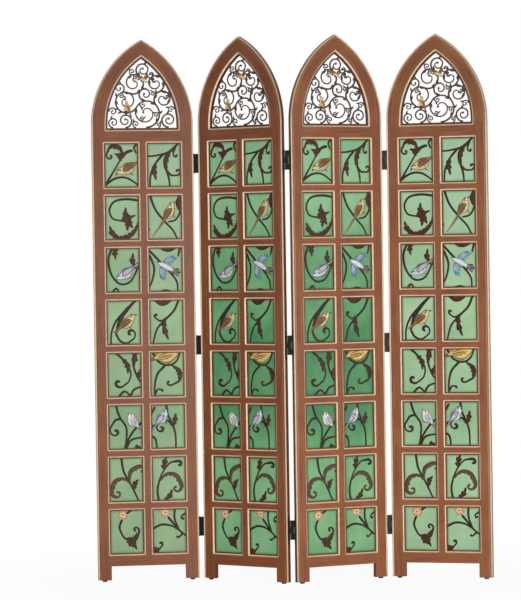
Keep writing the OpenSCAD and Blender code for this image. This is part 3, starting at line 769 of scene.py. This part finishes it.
main = foot_scroll(0.12, 0.22, 1, 1.7)
left = branch(main, fx(-0.44), fz(0.39))
right = branch(main, fx(0.61), fz(0.415), 1.5)
upper = branch(left, fx(-0.22), fz(0.645), 1.5)
high = branch(right, fx(0.4), fz(0.64), 1.5)
top = branch(upper, fx(0.05), fz(0.83), 1.4)
large = [main, left, right, upper, high]
small = [branch(main, fx(0.11), fz(0.488), 1.3), branch(left, fx(-0.625), fz(0.575), 1.2), top,
         branch(right, fx(0.33), fz(0.49), 1.1), branch(top, fx(0.27), fz(0.77), 1.1),
         branch(upper, fx(-0.255), fz(0.807), 1.1),
         foot_scroll(-0.47, 0.115, 1, 1.5), foot_scroll(-0.81, 0.088, -1, 1.35),
         foot_scroll(0.76, 0.12, -1, 1.5), foot_scroll(-0.17, 0.065, -1, 1.2),
         foot_scroll(0.47, 0.052, 1, 1.1),
         side_scroll(-1, 0.82, 0.245, -1, 1.2), side_scroll(1, 0.83, 0.27, 1, 1.2)]
small += [inner_curl(main, t, share) for t, share in ((0.13, 0.19), (0.33, 0.21), (0.52, 0.17))]
small += [inner_curl(scroll, 0.34, 0.22) for scroll in large[1:]]
print("scrolls:", len(large) + len(small))

# %% [markdown]
# Each scroll becomes a rounded bar that gets thinner towards its end, with a ball there and pointed leaves
# along its first turn. All of it is held by a rim, which sits in the arch's groove.

# %% Openwork as rounded strokes
section_sides, section_power = 10, 0.75
section_angle = np.radians((np.arange(section_sides) + 0.5) * 360 / section_sides)
circle = np.stack([np.cos(section_angle), np.sin(section_angle)], -1)
round_section = np.sign(circle) * np.abs(circle) ** section_power
carved_dark, carved_highlight = np.array(srgb(50, 36, 29)[:3]), np.array(srgb(92, 68, 54)[:3])
# Painted highlight on the front and back of each bar, and painted shade on its sides.
carved_colour = carved_dark + (carved_highlight - carved_dark) * (np.abs(round_section[:, 1:]) ** 2) * 0.6
bar_half_t, bar_taper, ball_half_t, ball_gap = 2.0, 0.3, 2.3, 0.002
spur_half_t, spur_rise = 1.2, 0.7
spurs = ((0.3, 1), (0.14, 1), (0.08, -1), (0.22, -1), (0.4, -1))
spur_lean = 38
carved = Skin()


def carve(line, half, thick):
    """Adds a stroke with the same half width on both sides and the half thickness thick."""
    carved.add(stroke(line, half, half, round_section, 0.0, thick), paint=carved_colour)


rim_deep = fret_groove - groove_room
rim_u = [-rim_deep, -rim_deep, *(fret_rim - np.array([0.9, 0.2, 0, 0, 0.2, 0.9]))]
rim_y = fret_t / 2 * np.array([-1, 1, 1, 0.85, 0.5, -0.5, -0.85, -1])
rim = along_path(arch_opening_path(arch_w, arch_base_z, 0), rim_u, rim_y, 0.0)
carved.add(rim, ring=True, paint=carved_dark)
almond = np.sin(np.pi * np.linspace(0, 1, 9) ** 0.7) + 0.03
for scroll in large + small:
    slim = 0.6 + 0.4 * min(1, scroll[2] / slim_r)
    t = np.linspace(0, 1, int(38 * scroll[5]))
    bar_half_w = slim * (scroll_w + (scroll_tip_w - scroll_w) * t) / 2
    carve(scroll_point(scroll, t), bar_half_w, bar_half_t - bar_taper * t)
    ball = np.linspace(-1, 1, 9)
    tip = scroll_point(scroll, np.array([0.99, 1.0]))
    heading = (tip[1] - tip[0]) / np.linalg.norm(tip[1] - tip[0])
    dome = np.sqrt(1 + ball_gap - ball ** 2)
    carve(tip[1] + slim * bud_r * ball[:, None] * heading, slim * bud_r * dome, ball_half_t * dome)
    for t_spur, outer in spurs if scroll in large else spurs[:1]:
        lean = np.radians(scroll[3] + scroll[4] * (360 * scroll[5] * t_spur + 90 - outer * spur_lean))
        reach = np.linspace(0, 1, 9)[:, None] * slim * spur_l * np.array([[np.cos(lean), np.sin(lean)]])
        spur = scroll_point(scroll, t_spur) + reach
        carve(spur, almond * slim * spur_w / 2, spur_half_t + spur_rise * almond)
for panel in panel_place:
    carved.piece(f"openwork_{panel}", panel, carving_paint, [f"fretwork_{panel}"])
print("openwork:", carved.count, "points on each panel")

# %% [markdown]
# Two painted birds are in the openwork, and more birds are in the picture on the boards. The same drawings
# serve both. A bird is a few strokes in its own small frame, with its head at plus x: tail, body with head,
# folded or spread wings, beak and eye. A drawing is written down in rows, as a pattern book would note it:
# the part, then the points of its line as pairs across and up, then its half widths, all in percent of the
# bird's length, and last its layer, because each layer of paint lies a little higher than the one before.

# %% Birds as strokes
def even(line, halves, step):
    """The line with points a step apart, and the half widths w spread along it; at the distance d from an end
    they follow a half circle, w times the root of 1 - (1 - d / w) squared."""
    way = np.concatenate([[0], np.cumsum(np.linalg.norm(np.diff(line, axis=0), axis=1))])
    at = np.linspace(0, way[-1], max(int(way[-1] / step), 6))
    line = np.stack([np.interp(at, way, line[:, 0]), np.interp(at, way, line[:, 1])], -1)
    half = np.interp(at / way[-1], np.linspace(0, 1, len(halves)), halves)
    half[1:-1] = (half[:-2] + 2 * half[1:-1] + half[2:]) / 4
    end = np.minimum(at, way[-1] - at) / np.maximum(half, 1e-6)
    return line, half * np.sqrt(1 - (1 - np.clip(end, 0.03, 1)) ** 2)


def bird_drawing(rows):
    """Reads rows of part: points | half widths | layer."""
    parts = []
    for row in rows.strip().splitlines():
        part, noted = row.split(":")
        points, halves, layer = (np.array(numbers.split(), float) for numbers in noted.split("|"))
        parts.append((part.strip(), points.reshape(-1, 2) / 100, halves / 100, layer[0]))
    return parts


perched_bird = bird_drawing("""
    leg: 2 -18  6 -28  2 -40 | 2.5 2 1.8 | 0
    tail: -15 -2  -42 -12  -72 -20 | 8 6 5 | 0
    feather: -20 -6  -42 -13  -66 -19 | 1 1.5 1.2 | 1
    body: -34 -9  -14 -5  6 0  22 8  34 18  44 18 | 5 17 23 18 14 4 | 1
    wing: 22 4  0 3  -22 -4  -46 -12 | 6 13 11 2 | 2
    feather: 14 7  -4 6  -30 -4 | 1.2 2.8 1.2 | 3
    feather: 14 -2  -6 -4  -34 -11 | 1.2 2.8 1.2 | 3
    cap: 40 22  34 24  28 19  24 10 | 2 3.5 4 2 | 2
    feather: -14 -15  -11 -14  -8 -12 | 1.2 1.8 1 | 1.6
    feather: -2 -15  1 -14  4 -12 | 1.2 1.8 1 | 1.6
    feather: 10 -10  13 -9  16 -7 | 1.2 1.8 1 | 1.6
    feather: 20 -3  23 -2  26 0 | 1.2 1.8 1 | 1.6
    beak: 42 17  49 16  57 14 | 4.5 2.8 1 | 1
    eye: 35 20  36.5 20  38 20 | 2.2 2.6 2.2 | 3
""")
long_tailed = bird_drawing("tail: -50 -14  -90 -24  -130 -30 | 6 4 2 | 0") + perched_bird
flying_bird = bird_drawing("""
    tail: -16 8  -30 5  -46 2 | 6 7 7 | 0
    wing: 2 2  -18 16  -34 24  -50 26 | 8 14 12 5 | 0
    wing: 10 0  18 18  27 32  38 41 | 9 15 12 5 | 0
    feather: -4 8  -20 19  -42 27 | 1.2 2.8 1.4 | 1
    feather: -14 10  -28 16  -42 20 | 1.2 2.8 1.4 | 1
    feather: 8 10  14 24  28 38 | 1.2 2.8 1.4 | 1
    feather: 20 12  27 24  36 36 | 1.2 2.8 1.4 | 1
    body: -24 11  -8 4  8 -4  22 -13  33 -19 | 5 11 13 10 6 | 2
    beak: 30 -17  37 -20  43 -23 | 3.5 2.2 0.8 | 2
    eye: 25 -12  26.2 -12.8  27.4 -13.6 | 1.8 2.2 1.8 | 4
""")
spread_wing = bird_drawing("""
    wing: 12 2  10 20  3 38  -10 58 | 10 12 9 3 | 1
    wing: 7 16  -6 18  -16 19 | 3 4 1.4 | 0.6
    wing: 4 28  -9 30  -19 31 | 3 4 1.4 | 0.6
    wing: 0 40  -13 42  -23 43 | 3 4 1.4 | 0.6
    wing: -5 50  -18 52  -28 53 | 3 4 1.4 | 0.6
    feather: 17 12  14 28  6 46 | 1 2 1 | 2
    feather: 10 12  7 28  -1 46 | 1 2 1 | 2
    feather: 3 12  0 28  -8 46 | 1 2 1 | 2
""")
other_wing = [(part, points * (1, -1), halves, layer) for part, points, halves, layer in spread_wing]
gliding_bird = bird_drawing("""
    tail: -20 0  -42 3  -66 10 | 6 7 5 | 0
    tail: -20 0  -42 -5  -62 -12 | 6 7 5 | 0
""") + spread_wing + other_wing + bird_drawing("""
    body: -34 0  -14 0  8 0  26 2  38 2 | 5 12 14 11 5 | 2
    beak: 36 2  42 2  47 1 | 3.5 2.2 0.8 | 2
    eye: 29 6  30 6  31 6 | 2 2.4 2 | 3
""")
warm = {"body": (214, 196, 148), "wing": (140, 98, 62), "tail": (150, 110, 72), "feather": (92, 62, 42),
        "cap": (150, 108, 68), "beak": (72, 54, 38), "leg": (96, 70, 46), "eye": (30, 22, 18)}
russet = {**warm, "body": (220, 186, 130), "wing": (160, 98, 58), "tail": (164, 92, 56)}
golden = {**warm, "body": (222, 192, 116), "wing": (204, 170, 102), "tail": (112, 78, 50),
          "feather": (142, 104, 58)}
blue = {"body": (206, 208, 210), "wing": (96, 126, 160), "tail": (116, 98, 116), "feather": (196, 204, 218),
        "cap": (92, 132, 168), "beak": (80, 66, 60), "leg": (96, 78, 66), "eye": (28, 26, 30)}
mauve = {**blue, "wing": (138, 128, 148), "feather": (220, 212, 214), "tail": (104, 78, 88)}
slate = {**mauve, "wing": (126, 138, 166)}
white = {**blue, "body": (232, 226, 216), "wing": (208, 206, 206), "tail": (140, 124, 120),
         "feather": (112, 122, 140)}


def bird_strokes(drawing, x, z, angle, length, colours, mirror=1, plump=1.0):
    """Strokes of a bird at (x, z): each point is scaled by the length, mirrored and turned by the angle."""
    c, s = np.cos(np.radians(angle)), np.sin(np.radians(angle))
    for part, points, halves, layer in drawing:
        px, pz = points.T * length
        pz = pz * mirror
        line = np.stack([x + px * c - pz * s, z + px * s + pz * c], -1)
        half = halves * length * (plump if part in ("body", "wing") else 1)
        yield *even(smooth_line(line, 6), half, length / 30), srgb(*colours[part])[:3], layer


print("a perched bird has", len(perched_bird), "strokes and a flying one", len(flying_bird))

# %% [markdown]
# The openwork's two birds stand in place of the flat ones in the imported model, so they have the same place,
# turn and length.

# %% Two birds in the openwork
carved_birds = Skin()
# Painted light and shade: each bird stroke is lighter on its front and back crown and darker at its sides.
shade = 0.62 + 0.5 * np.abs(round_section[:, 1:]) ** 1.5
bird_half_t, layer_t = 2.1, 0.22
sitting = bird_strokes(perched_bird, fx(-0.4), fz(0.3), 128, bird_l, russet, -1)
flying = bird_strokes(flying_bird, fx(0.06), fz(0.69), 0, bird_l, warm)
for line, half, colour, layer in (*sitting, *flying):
    grid = stroke(line, half, half, round_section, 0.0, bird_half_t + layer_t * layer)
    carved_birds.add(grid, paint=np.array(colour) * shade)
for panel in panel_place:
    carved_birds.piece(f"openwork_birds_{panel}", panel, picture_paint)
print("openwork birds:", carved_birds.count, "points on each panel")

# %% [markdown]
# ## The picture on the boards
# One picture runs up the whole board behind the bars: slender vines that fork and curl, toothed fronds,
# lobed leaves, small birds and two blossoms. It stands a little proud of the board, as thick paint does.
# Each line is noted as its kind and a few points, as pairs across and up in percent of half its window,
# counted from the window's middle. A curl at its end is noted by its radius in mm, its sense and its turns.

# %% The vines, window by window from the top left
vine_table = {
    (0, 0): """
    frond: 10 50  -10 80  -60 88  -86 62  curl 13 1 0.8
    stem: -115 -110  -50 -30  -10 20  20 55  55 68  curl 6 -1 0.4
    leaf: 0 20  -10 45  -40 56
    leaf: 0 30  12 50  40 60
    stem: -115 -100  -40 -62  35 -60  115 -100
    stem: 110 105  82 85  95 55
    """,
    (0, 1): """
    stem: 110 115  30 62  -50 45  -110 42
    stem: 0 55  -55 5  -85 -50  -90 -115
    leaf: -50 14  -62 -25  -50 -72
    frond: 72 85  25 45  12 -10  40 -46  72 -50  curl 12 1 0.8
    stem: 12 -15  30 -65  36 -115
    stem: 75 90  60 55  curl 8 1 0.7
    """,
    (1, 0): """
    stem: 115 80  30 88  -45 78  -78 40  -62 0  -20 -12  10 -12
    leaf: 10 -20  20 10  24 50
    lobes: -10 -16  35 -2  86 12
    leaf: 10 -10  42 -20  66 -50
    leaf: 20 0  34 -32  30 -62
    frond: 110 -10  75 -62  25 -90  -25 -92  -62 -62
    leaf: -20 -92  -58 -80  -80 -36
    """,
    (1, 1): """
    stem: -95 115  -60 40  0 -20  50 -62  85 -115
    stem: 85 115  100 40  70 -10  20 -22
    frond: 95 110  88 70  95 30
    stem: -110 -40  -98 -62
    """,
    (2, 0): """
    stem: -60 115  -90 50  -72 -20  -20 -64  45 -55  88 0  115 45
    lobes: -42 115  -48 85  -44 50
    leaf: 88 2  62 40  66 82
    stem: -75 -115  -45 -86  -20 -110
    """,
    (2, 1): """
    frond: -50 112  10 98  80 110
    stem: -110 100  -40 42  30 -15  70 -60  75 -115
    stem: -100 70  -72 10  -85 -50  -110 -90
    leaf: 42 -20  70 -8  95 -18
    stem: 95 110  78 60
    stem: -50 -110  0 -98  50 -110
    """,
    (3, 0): """
    bough: 100 120  20 60  -30 0  -50 -62
    stem: 35 75  -45 10  -78 -50  -80 -115
    stem: -48 -55  -24 -86  16 -98  50 -84  curl 19 1 0.85
    """,
    (3, 1): """
    frond: -85 110  -25 90  45 112
    stem: 85 115  50 55  -5 12  -60 -35  -90 -115
    stem: 10 22  -35 5  -66 18  curl 7 -1 0.7
    leaf: -6 12  -14 -30  12 -86
    """,
    (4, 0): """
    stem: -72 115  -10 75  36 20  30 -26  -4 -50  curl 17 -1 0.75
    leaf: -20 80  16 50  22 5
    stem: 62 125  56 50  80 -10  110 -45
    lobes: 72 130  66 80  58 30
    leaf: 115 30  98 10  86 -20
    stem: -50 -115  0 -78  50 -115
    stem: 35 -100  60 -70  110 -55
    """,
    (4, 1): """
    stem: -95 110  -50 58  10 42  60 62  85 110
    stem: -10 44  -62 0  -80 -60  -78 -115
    frond: 30 42  72 12  74 -30  35 -50  curl 12 -1 0.6
    stem: -78 -95  -62 -72  -42 -72  curl 5 -1 0.5
    """,
    (5, 0): """
    stem: -62 115  -35 50  5 0  5 -60  -10 -115
    stem: -30 40  -62 34  -88 6  curl 19 1 0.9
    stem: 115 30  60 -10  15 -62  -5 -110
    stem: -2 -110  35 -62  110 -48
    leaf: 55 -115  75 -95  98 -100
    """,
    (5, 1): """
    stem: -10 115  -2 60  28 10  46 -40  48 -115
    leaf: 34 0  44 30  50 62
    stem: 30 0  2 26  -34 24  curl 19 1 0.95
    stem: -110 -42  -80 -60  -70 -115
    stem: -80 95  -110 50
    stem: -85 10  -110 -20
    """,
    (6, 0): """
    stem: -30 115  -15 40  30 -25  85 -115
    pale frond: 30 -22  -15 2  -65 -8  -86 -42  curl 19 1 0.85
    pale frond: 20 -15  30 35  72 56  curl 14 -1 0.7
    leaf: 50 -50  56 -20  78 0
    """,
    (6, 1): """
    stem: -62 -115  -72 -50  -45 20  5 72  55 82  curl 10 -1 0.75
    pale frond: -62 -12  -10 20  45 12  72 -22  curl 18 -1 0.8
    lobes: -30 40  -25 75  -10 110
    leaf: -35 -110  5 -80  20 -50
    """,
    (7, 0): """
    stem: -30 60  -46 20  -20 -25  10 -40
    leaf: -10 -30  30 -42  62 -86
    leaf: 0 -30  24 -58  50 -74
    frond: 0 -36  42 -34  70 -8  curl 12 1 0.85
    stem: -10 78  15 95  50 110
    """,
    (7, 1): """
    stem: -10 66  30 30  70 -5  115 -32
    stem: 35 115  32 60  55 10
    stem: -110 10  -50 30  10 24  60 2
    stem: 110 85  82 72  curl 7 1 0.7
    stem: 85 -12  62 -30  curl 5 -1 0.6
    stem: -110 -100  -75 -90  -50 -72  curl 7 1 0.7
    leaf: -100 -75  -82 -90  -60 -80
    """,
}
print("windows with vines:", len(vine_table), "lines:", sum(rows.count(":") for rows in vine_table.values()))

# %% [markdown]
# A stem keeps nearly the same width. A frond swells, and carries teeth on the inner side of its bend. A
# leaf is widest at its middle and has teeth on both sides. Where a line passes under a bar it is left out,
# a little inside the bar. Each kind has its paint, its half widths along the line, its number of teeth and
# its height.

# %% Paint the vines
raised_section = [(1, 0), (0.62, 0.8), (0, 1), (-0.62, 0.8), (-1, 0), (0, -0.5)]
# Painted highlight on each stroke's crown and painted shade at its flanks and underside.
crown_light = np.array([0.55, 0.9, 1.2, 1.0, 0.55, 0.5])[:, None]
board_face = board_t / 2
vine, maroon, umber = (np.array(srgb(*c)[:3]) for c in ((44, 30, 19), (64, 32, 22), (86, 62, 44)))
kinds = {
    "stem": (vine, [4.2, 3.9, 3.6, 3.2, 2.9], 0, 0.5),
    "bough": (vine, [2.6, 4.4, 6.6, 6.4, 4.4, 3.0], 0, 0.5),
    "frond": (maroon, [3.2, 5.4, 9.2, 10.4, 7.6, 4.4], 8, 0.5),
    "pale frond": (umber, [3.2, 4.4, 6.6, 8.2, 9.0, 9.0], 9, 0.5),
    "leaf": (maroon, [2.8, 9.5, 12.4, 8.6, 0.8], 3, 0.45),
    "lobes": (maroon, [3.0, 12.5, 12.0, 12.0, 6.0, 0.6], 3, 0.45),
}
curl_halves = {
    "stem": [2.8, 3.0, 5.0, 4.8],
    "frond": [3.6, 3.0, 4.2, 4.4],
    "pale frond": [8.0, 5.4, 3.4, 4.8],
}
tooth_depth, tooth_from, layer_step, under_bar = 0.56, 3.8, 0.25, 6.0


def vine_lines(rows):
    """Reads rows of kind: points, with curl and its three numbers at the end of some."""
    for row in rows.strip().splitlines():
        drawn, _, curl = row.partition(" curl ")
        kind, noted = drawn.split(":")
        points = np.array(noted.split(), float).reshape(-1, 2) / 100
        yield kind.strip(), points, np.array(curl.split(), float)


def in_window(line, room):
    """True where a point is less than room outside its nearest window."""
    dx = np.abs(np.abs(line[:, 0]) - column_x) - window_w / 2
    level = (line[:, 1] - lattice_low_z - window_h / 2 + pitch / 2) % pitch - pitch / 2
    on_board = (line[:, 1] > lattice_low_z - under_bar) & (line[:, 1] < lattice_high_z + under_bar)
    return (np.maximum(dx, np.abs(level) - window_h / 2) < room) & on_board


def paint_stroke(skin, line, left, right, colour, height, layer=0):
    """Adds the parts of a stroke that show in the windows, each with its own rounded ends."""
    shown = np.flatnonzero(in_window(line, 2 + np.maximum(left, right)))
    for run in np.split(shown, np.flatnonzero(np.diff(shown) > 1) + 1):
        if len(run) > 2:
            base = board_face + layer_step * layer
            grid = stroke(line[run], left[run], right[run], raised_section, base, height)
            skin.add(grid, paint=np.asarray(colour) * crown_light)


picture = Skin()
half_window = np.array([window_w / 2, window_h / 2])
for (row, side), rows in vine_table.items():
    for kind, points, curl in vine_lines(rows):
        colour, halves, teeth, height = kinds[kind]
        line = smooth_line(window_middle(row, side) + points * half_window, 14)
        if len(curl):
            line = with_curl(line, *curl)
            halves = halves + curl_halves[kind]
        line, half = even(line, halves, 1.4)
        s = np.linspace(0, 1, len(line))
        notch = 1 - tooth_depth * (1 - teeth * s % 1) * (half > tooth_from) if teeth else np.ones_like(s)
        tangent = np.diff(line, axis=0)
        turning = tangent[:-1, 0] * tangent[1:, 1] - tangent[:-1, 1] * tangent[1:, 0]
        bends_left = np.sum(turning) > 0
        two_sided = kind in ("leaf", "lobes")
        left_half = half * (notch if bends_left or two_sided else 1)
        right_half = half * (notch if not bends_left or two_sided else 1)
        paint_stroke(picture, line, left_half, right_half, colour, height, 0 if kind == "stem" else 1)
picture.both_faces()
for panel in panel_place:
    picture.piece(f"painted_vines_{panel}", panel, picture_paint)
print("vines:", picture.count, "points on each panel")

# %% [markdown]
# Birds sit among the vines. Each row of the table gives the bird's window, its place in it in shares of half
# the window, its turn in degrees, its length in mm, its plumpness, its colours and its drawing, and last 1,
# or -1 where it is mirrored from left to right. The two blossoms in the lowest row are a ring of nine coral
# petals under a ring of six cream ones, round a heart.

# %% Paint the birds and the blossoms
bird_table = [
    (0, 0, 0.38, -0.14, -46, 80, 1.15, warm, perched_bird, -1),
    (1, 1, 0.26, 0.24, 42, 74, 1.1, warm, long_tailed, 1),
    (2, 0, 0.2, -0.14, -54, 76, 1.1, mauve, perched_bird, -1),
    (2, 1, 0.05, 0.14, 150, 78, 0.95, blue, gliding_bird, 1),
    (3, 0, 0.2, 0.0, 22, 76, 1.1, warm, perched_bird, 1),
    (4, 1, 0.0, 0.92, 0, 96, 1.3, golden, perched_bird, 1),
    (5, 0, 0.5, 0.3, 38, 58, 1.55, white, perched_bird, -1),
    (5, 1, -0.4, 0.4, 34, 68, 1.15, slate, perched_bird, 1),
]
coral, petal_cream, heart = (srgb(*c)[:3] for c in ((208, 150, 116), (226, 204, 162), (150, 84, 44)))
bird_layer, bird_height = 2.4, 0.25
birds = Skin()
for row, side, u, v, angle, length, plump, colours, drawing, mirror in bird_table:
    x, z = window_middle(row, side) + half_window * (u, v)
    angle = angle if mirror > 0 else 180 - angle
    for line, half, colour, layer in bird_strokes(drawing, x, z, angle, length, colours, mirror, plump):
        paint_stroke(birds, line, half, half, colour, bird_height, bird_layer + layer)


def petal(middle, angle, reach, halves, colour, layer):
    """A petal from near the middle outwards: middle + reach times the direction of its angle in degrees."""
    way = np.array([np.cos(np.radians(angle)), np.sin(np.radians(angle))])
    line, half = even(smooth_line(middle + np.array(reach)[:, None] * way, 8), halves, 1.2)
    paint_stroke(birds, line, half, half, colour, 0.3, layer)


def blossom(middle):
    """Nine long and short petals in turn, six smaller ones on them, and the heart."""
    for k in range(9):
        petal(middle, 40 * k, (2.0, 10.0, 17.0 + 2.0 * (-1) ** k), [2.0, 6.0, 4.2], coral, 2 + 0.15 * (k % 2))
    for k in range(6):
        reach = 0.62 * np.array([2.0, 10.0, 17.0 - 2.0 * (-1) ** k])
        petal(middle, 15 + 60 * k, reach, [2.0, 4.6, 3.0], petal_cream, 3.35 - 0.15 * (k % 2))
    line, half = even(middle + np.array([(-3.4, 0), (3.4, 0)]), [3.2, 3.4, 3.2], 0.8)
    paint_stroke(birds, line, half, half, heart, 0.4, 4.5)


blossom(window_middle(7, 0) + half_window * (-0.26, 0.8))
blossom(window_middle(7, 1) + half_window * (-0.26, 0.88))
birds.both_faces()
for panel in panel_place:
    birds.piece(f"painted_birds_{panel}", panel, picture_paint)
print("birds and blossoms:", birds.count, "points on each panel")

# %% [markdown]
# ## The camera and the light
# The photograph was taken with a long lens from a little to the right, a little above the middle of the
# screen's height. The camera's place and turn were fitted to corners of the panels in it, and its three axes
# are worked out here from the turn to the left, the tilt and the roll.

# %% Camera
scene = bpy.context.scene
yaw, pitch_up, roll = 0.0712, -0.0129, 0.0152
eye = np.array([604.84, -9873.97, 1055.16 + foot_h]) * mm
focal_px, picture_px, sensor_w = 2990.46, 600, 36.0
level_right = np.array([np.cos(yaw), np.sin(yaw), 0])
forward = np.array([-np.sin(yaw) * np.cos(pitch_up), np.cos(yaw) * np.cos(pitch_up), np.sin(pitch_up)])
level_up = np.array([np.sin(yaw) * np.sin(pitch_up), -np.cos(yaw) * np.sin(pitch_up), np.cos(pitch_up)])
view_right = np.cos(roll) * level_right - np.sin(roll) * level_up
view_up = np.sin(roll) * level_right + np.cos(roll) * level_up
camera = bpy.data.objects.new("camera", bpy.data.cameras.new("camera"))
camera.data.lens, camera.data.sensor_width = focal_px / picture_px * sensor_w, sensor_w
camera.data.clip_end = 100
placed = np.eye(4)
placed[:3, 0], placed[:3, 1], placed[:3, 2], placed[:3, 3] = view_right, view_up, -forward, eye
camera.matrix_world = Matrix(placed.tolist())
scene.collection.objects.link(camera)
scene.camera = camera
print("the lens is", round(camera.data.lens, 1), "mm long")

# %% [markdown]
# The ground of the photograph is white, with hardly a shadow. The camera sees the floor mostly by the
# floor's own white light, and by a little less of it near the screen, so that a faint real shadow shows. For
# every other ray it is a plain pale floor.

# %% Floor
floor_mesh = bpy.data.meshes.new("floor")
corners = np.array([(-1, -1), (1, -1), (1, 1), (-1, 1)]) * 30.0
floor_mesh.from_pydata([(x, y, 0.0) for x, y in corners], [], [(0, 1, 2, 3)])
floor = bpy.data.objects.new("floor", floor_mesh)
scene.collection.objects.link(floor)
pale, tree, shader = material("pale_floor", 0.9)
seen = add_node(tree, "ShaderNodeLightPath", {}, "Is Camera Ray")
white = add_node(tree, "ShaderNodeEmission", {"Color": grey(1.0), "Strength": 1.0})
away = add_node(tree, "ShaderNodeVectorMath", {0: on_object(tree)}, "Value", operation="LENGTH")
near_far = {"Value": away, "From Min": 0.5, "From Max": 1.5, "To Min": 0.94, "To Max": 1.0}
share = seen * add_node(tree, "ShaderNodeMapRange", near_far)
both = add_node(tree, "ShaderNodeMixShader", {0: share, 1: Output(shader.outputs[0]), 2: white})
feed(shader, {"Base Color": grey(0.9)})
feed(tree.nodes["Material Output"], {"Surface": both})
floor_mesh.materials.append(pale)
print("the floor is", round(float(np.ptp(corners[:, 0]))), "metres wide")

# %% [markdown]
# The light is even: a soft key from the front right, a weaker fill from the left, and a white backdrop. The
# fill gives no mirror image of itself, so the left panel keeps its colour. The backdrop is full white where
# it is seen or mirrored, and weaker where it only lights.

# %% Lamps and backdrop
def soft_lamp(name, place, aim, size, power):
    """A square lamp of size metres and power watts that faces a point: its own z axis is the unit vector from
    the aim to its place."""
    lamp = bpy.data.lights.new(name, "AREA")
    lamp.size, lamp.energy = size, power
    made = bpy.data.objects.new(name, lamp)
    back = np.array(place) - np.array(aim)
    back /= np.linalg.norm(back)
    side = np.cross((0, 0, 1), back)
    side /= np.linalg.norm(side)
    m = np.eye(4)
    m[:3, 0], m[:3, 1], m[:3, 2], m[:3, 3] = side, np.cross(back, side), back, place
    made.matrix_world = Matrix(m.tolist())
    scene.collection.objects.link(made)
    return made


soft_lamp("key", place=(2.6, -4.4, 0.75), aim=(0, 0, 0.7), size=1.4, power=135)
fill = soft_lamp("fill", place=(-3.2, -4.8, 0.6), aim=(0, 0, 0.6), size=1.2, power=60)
fill.visible_glossy = False
world = bpy.data.worlds.new("studio")
scene.world = world
world.use_nodes = True
rays = ("Is Camera Ray", "Is Glossy Ray", "Is Transmission Ray")
seen, mirrored_in, shown_through = (add_node(world.node_tree, "ShaderNodeLightPath", {}, ray) for ray in rays)
shown = math("MAXIMUM", seen, math("MAXIMUM", mirrored_in, shown_through))
lit, full = 0.3, 1.0
feed(world.node_tree.nodes["Background"], {"Color": grey(1.0), "Strength": shown * (full - lit) + lit})
scene.view_settings.view_transform = "Standard"
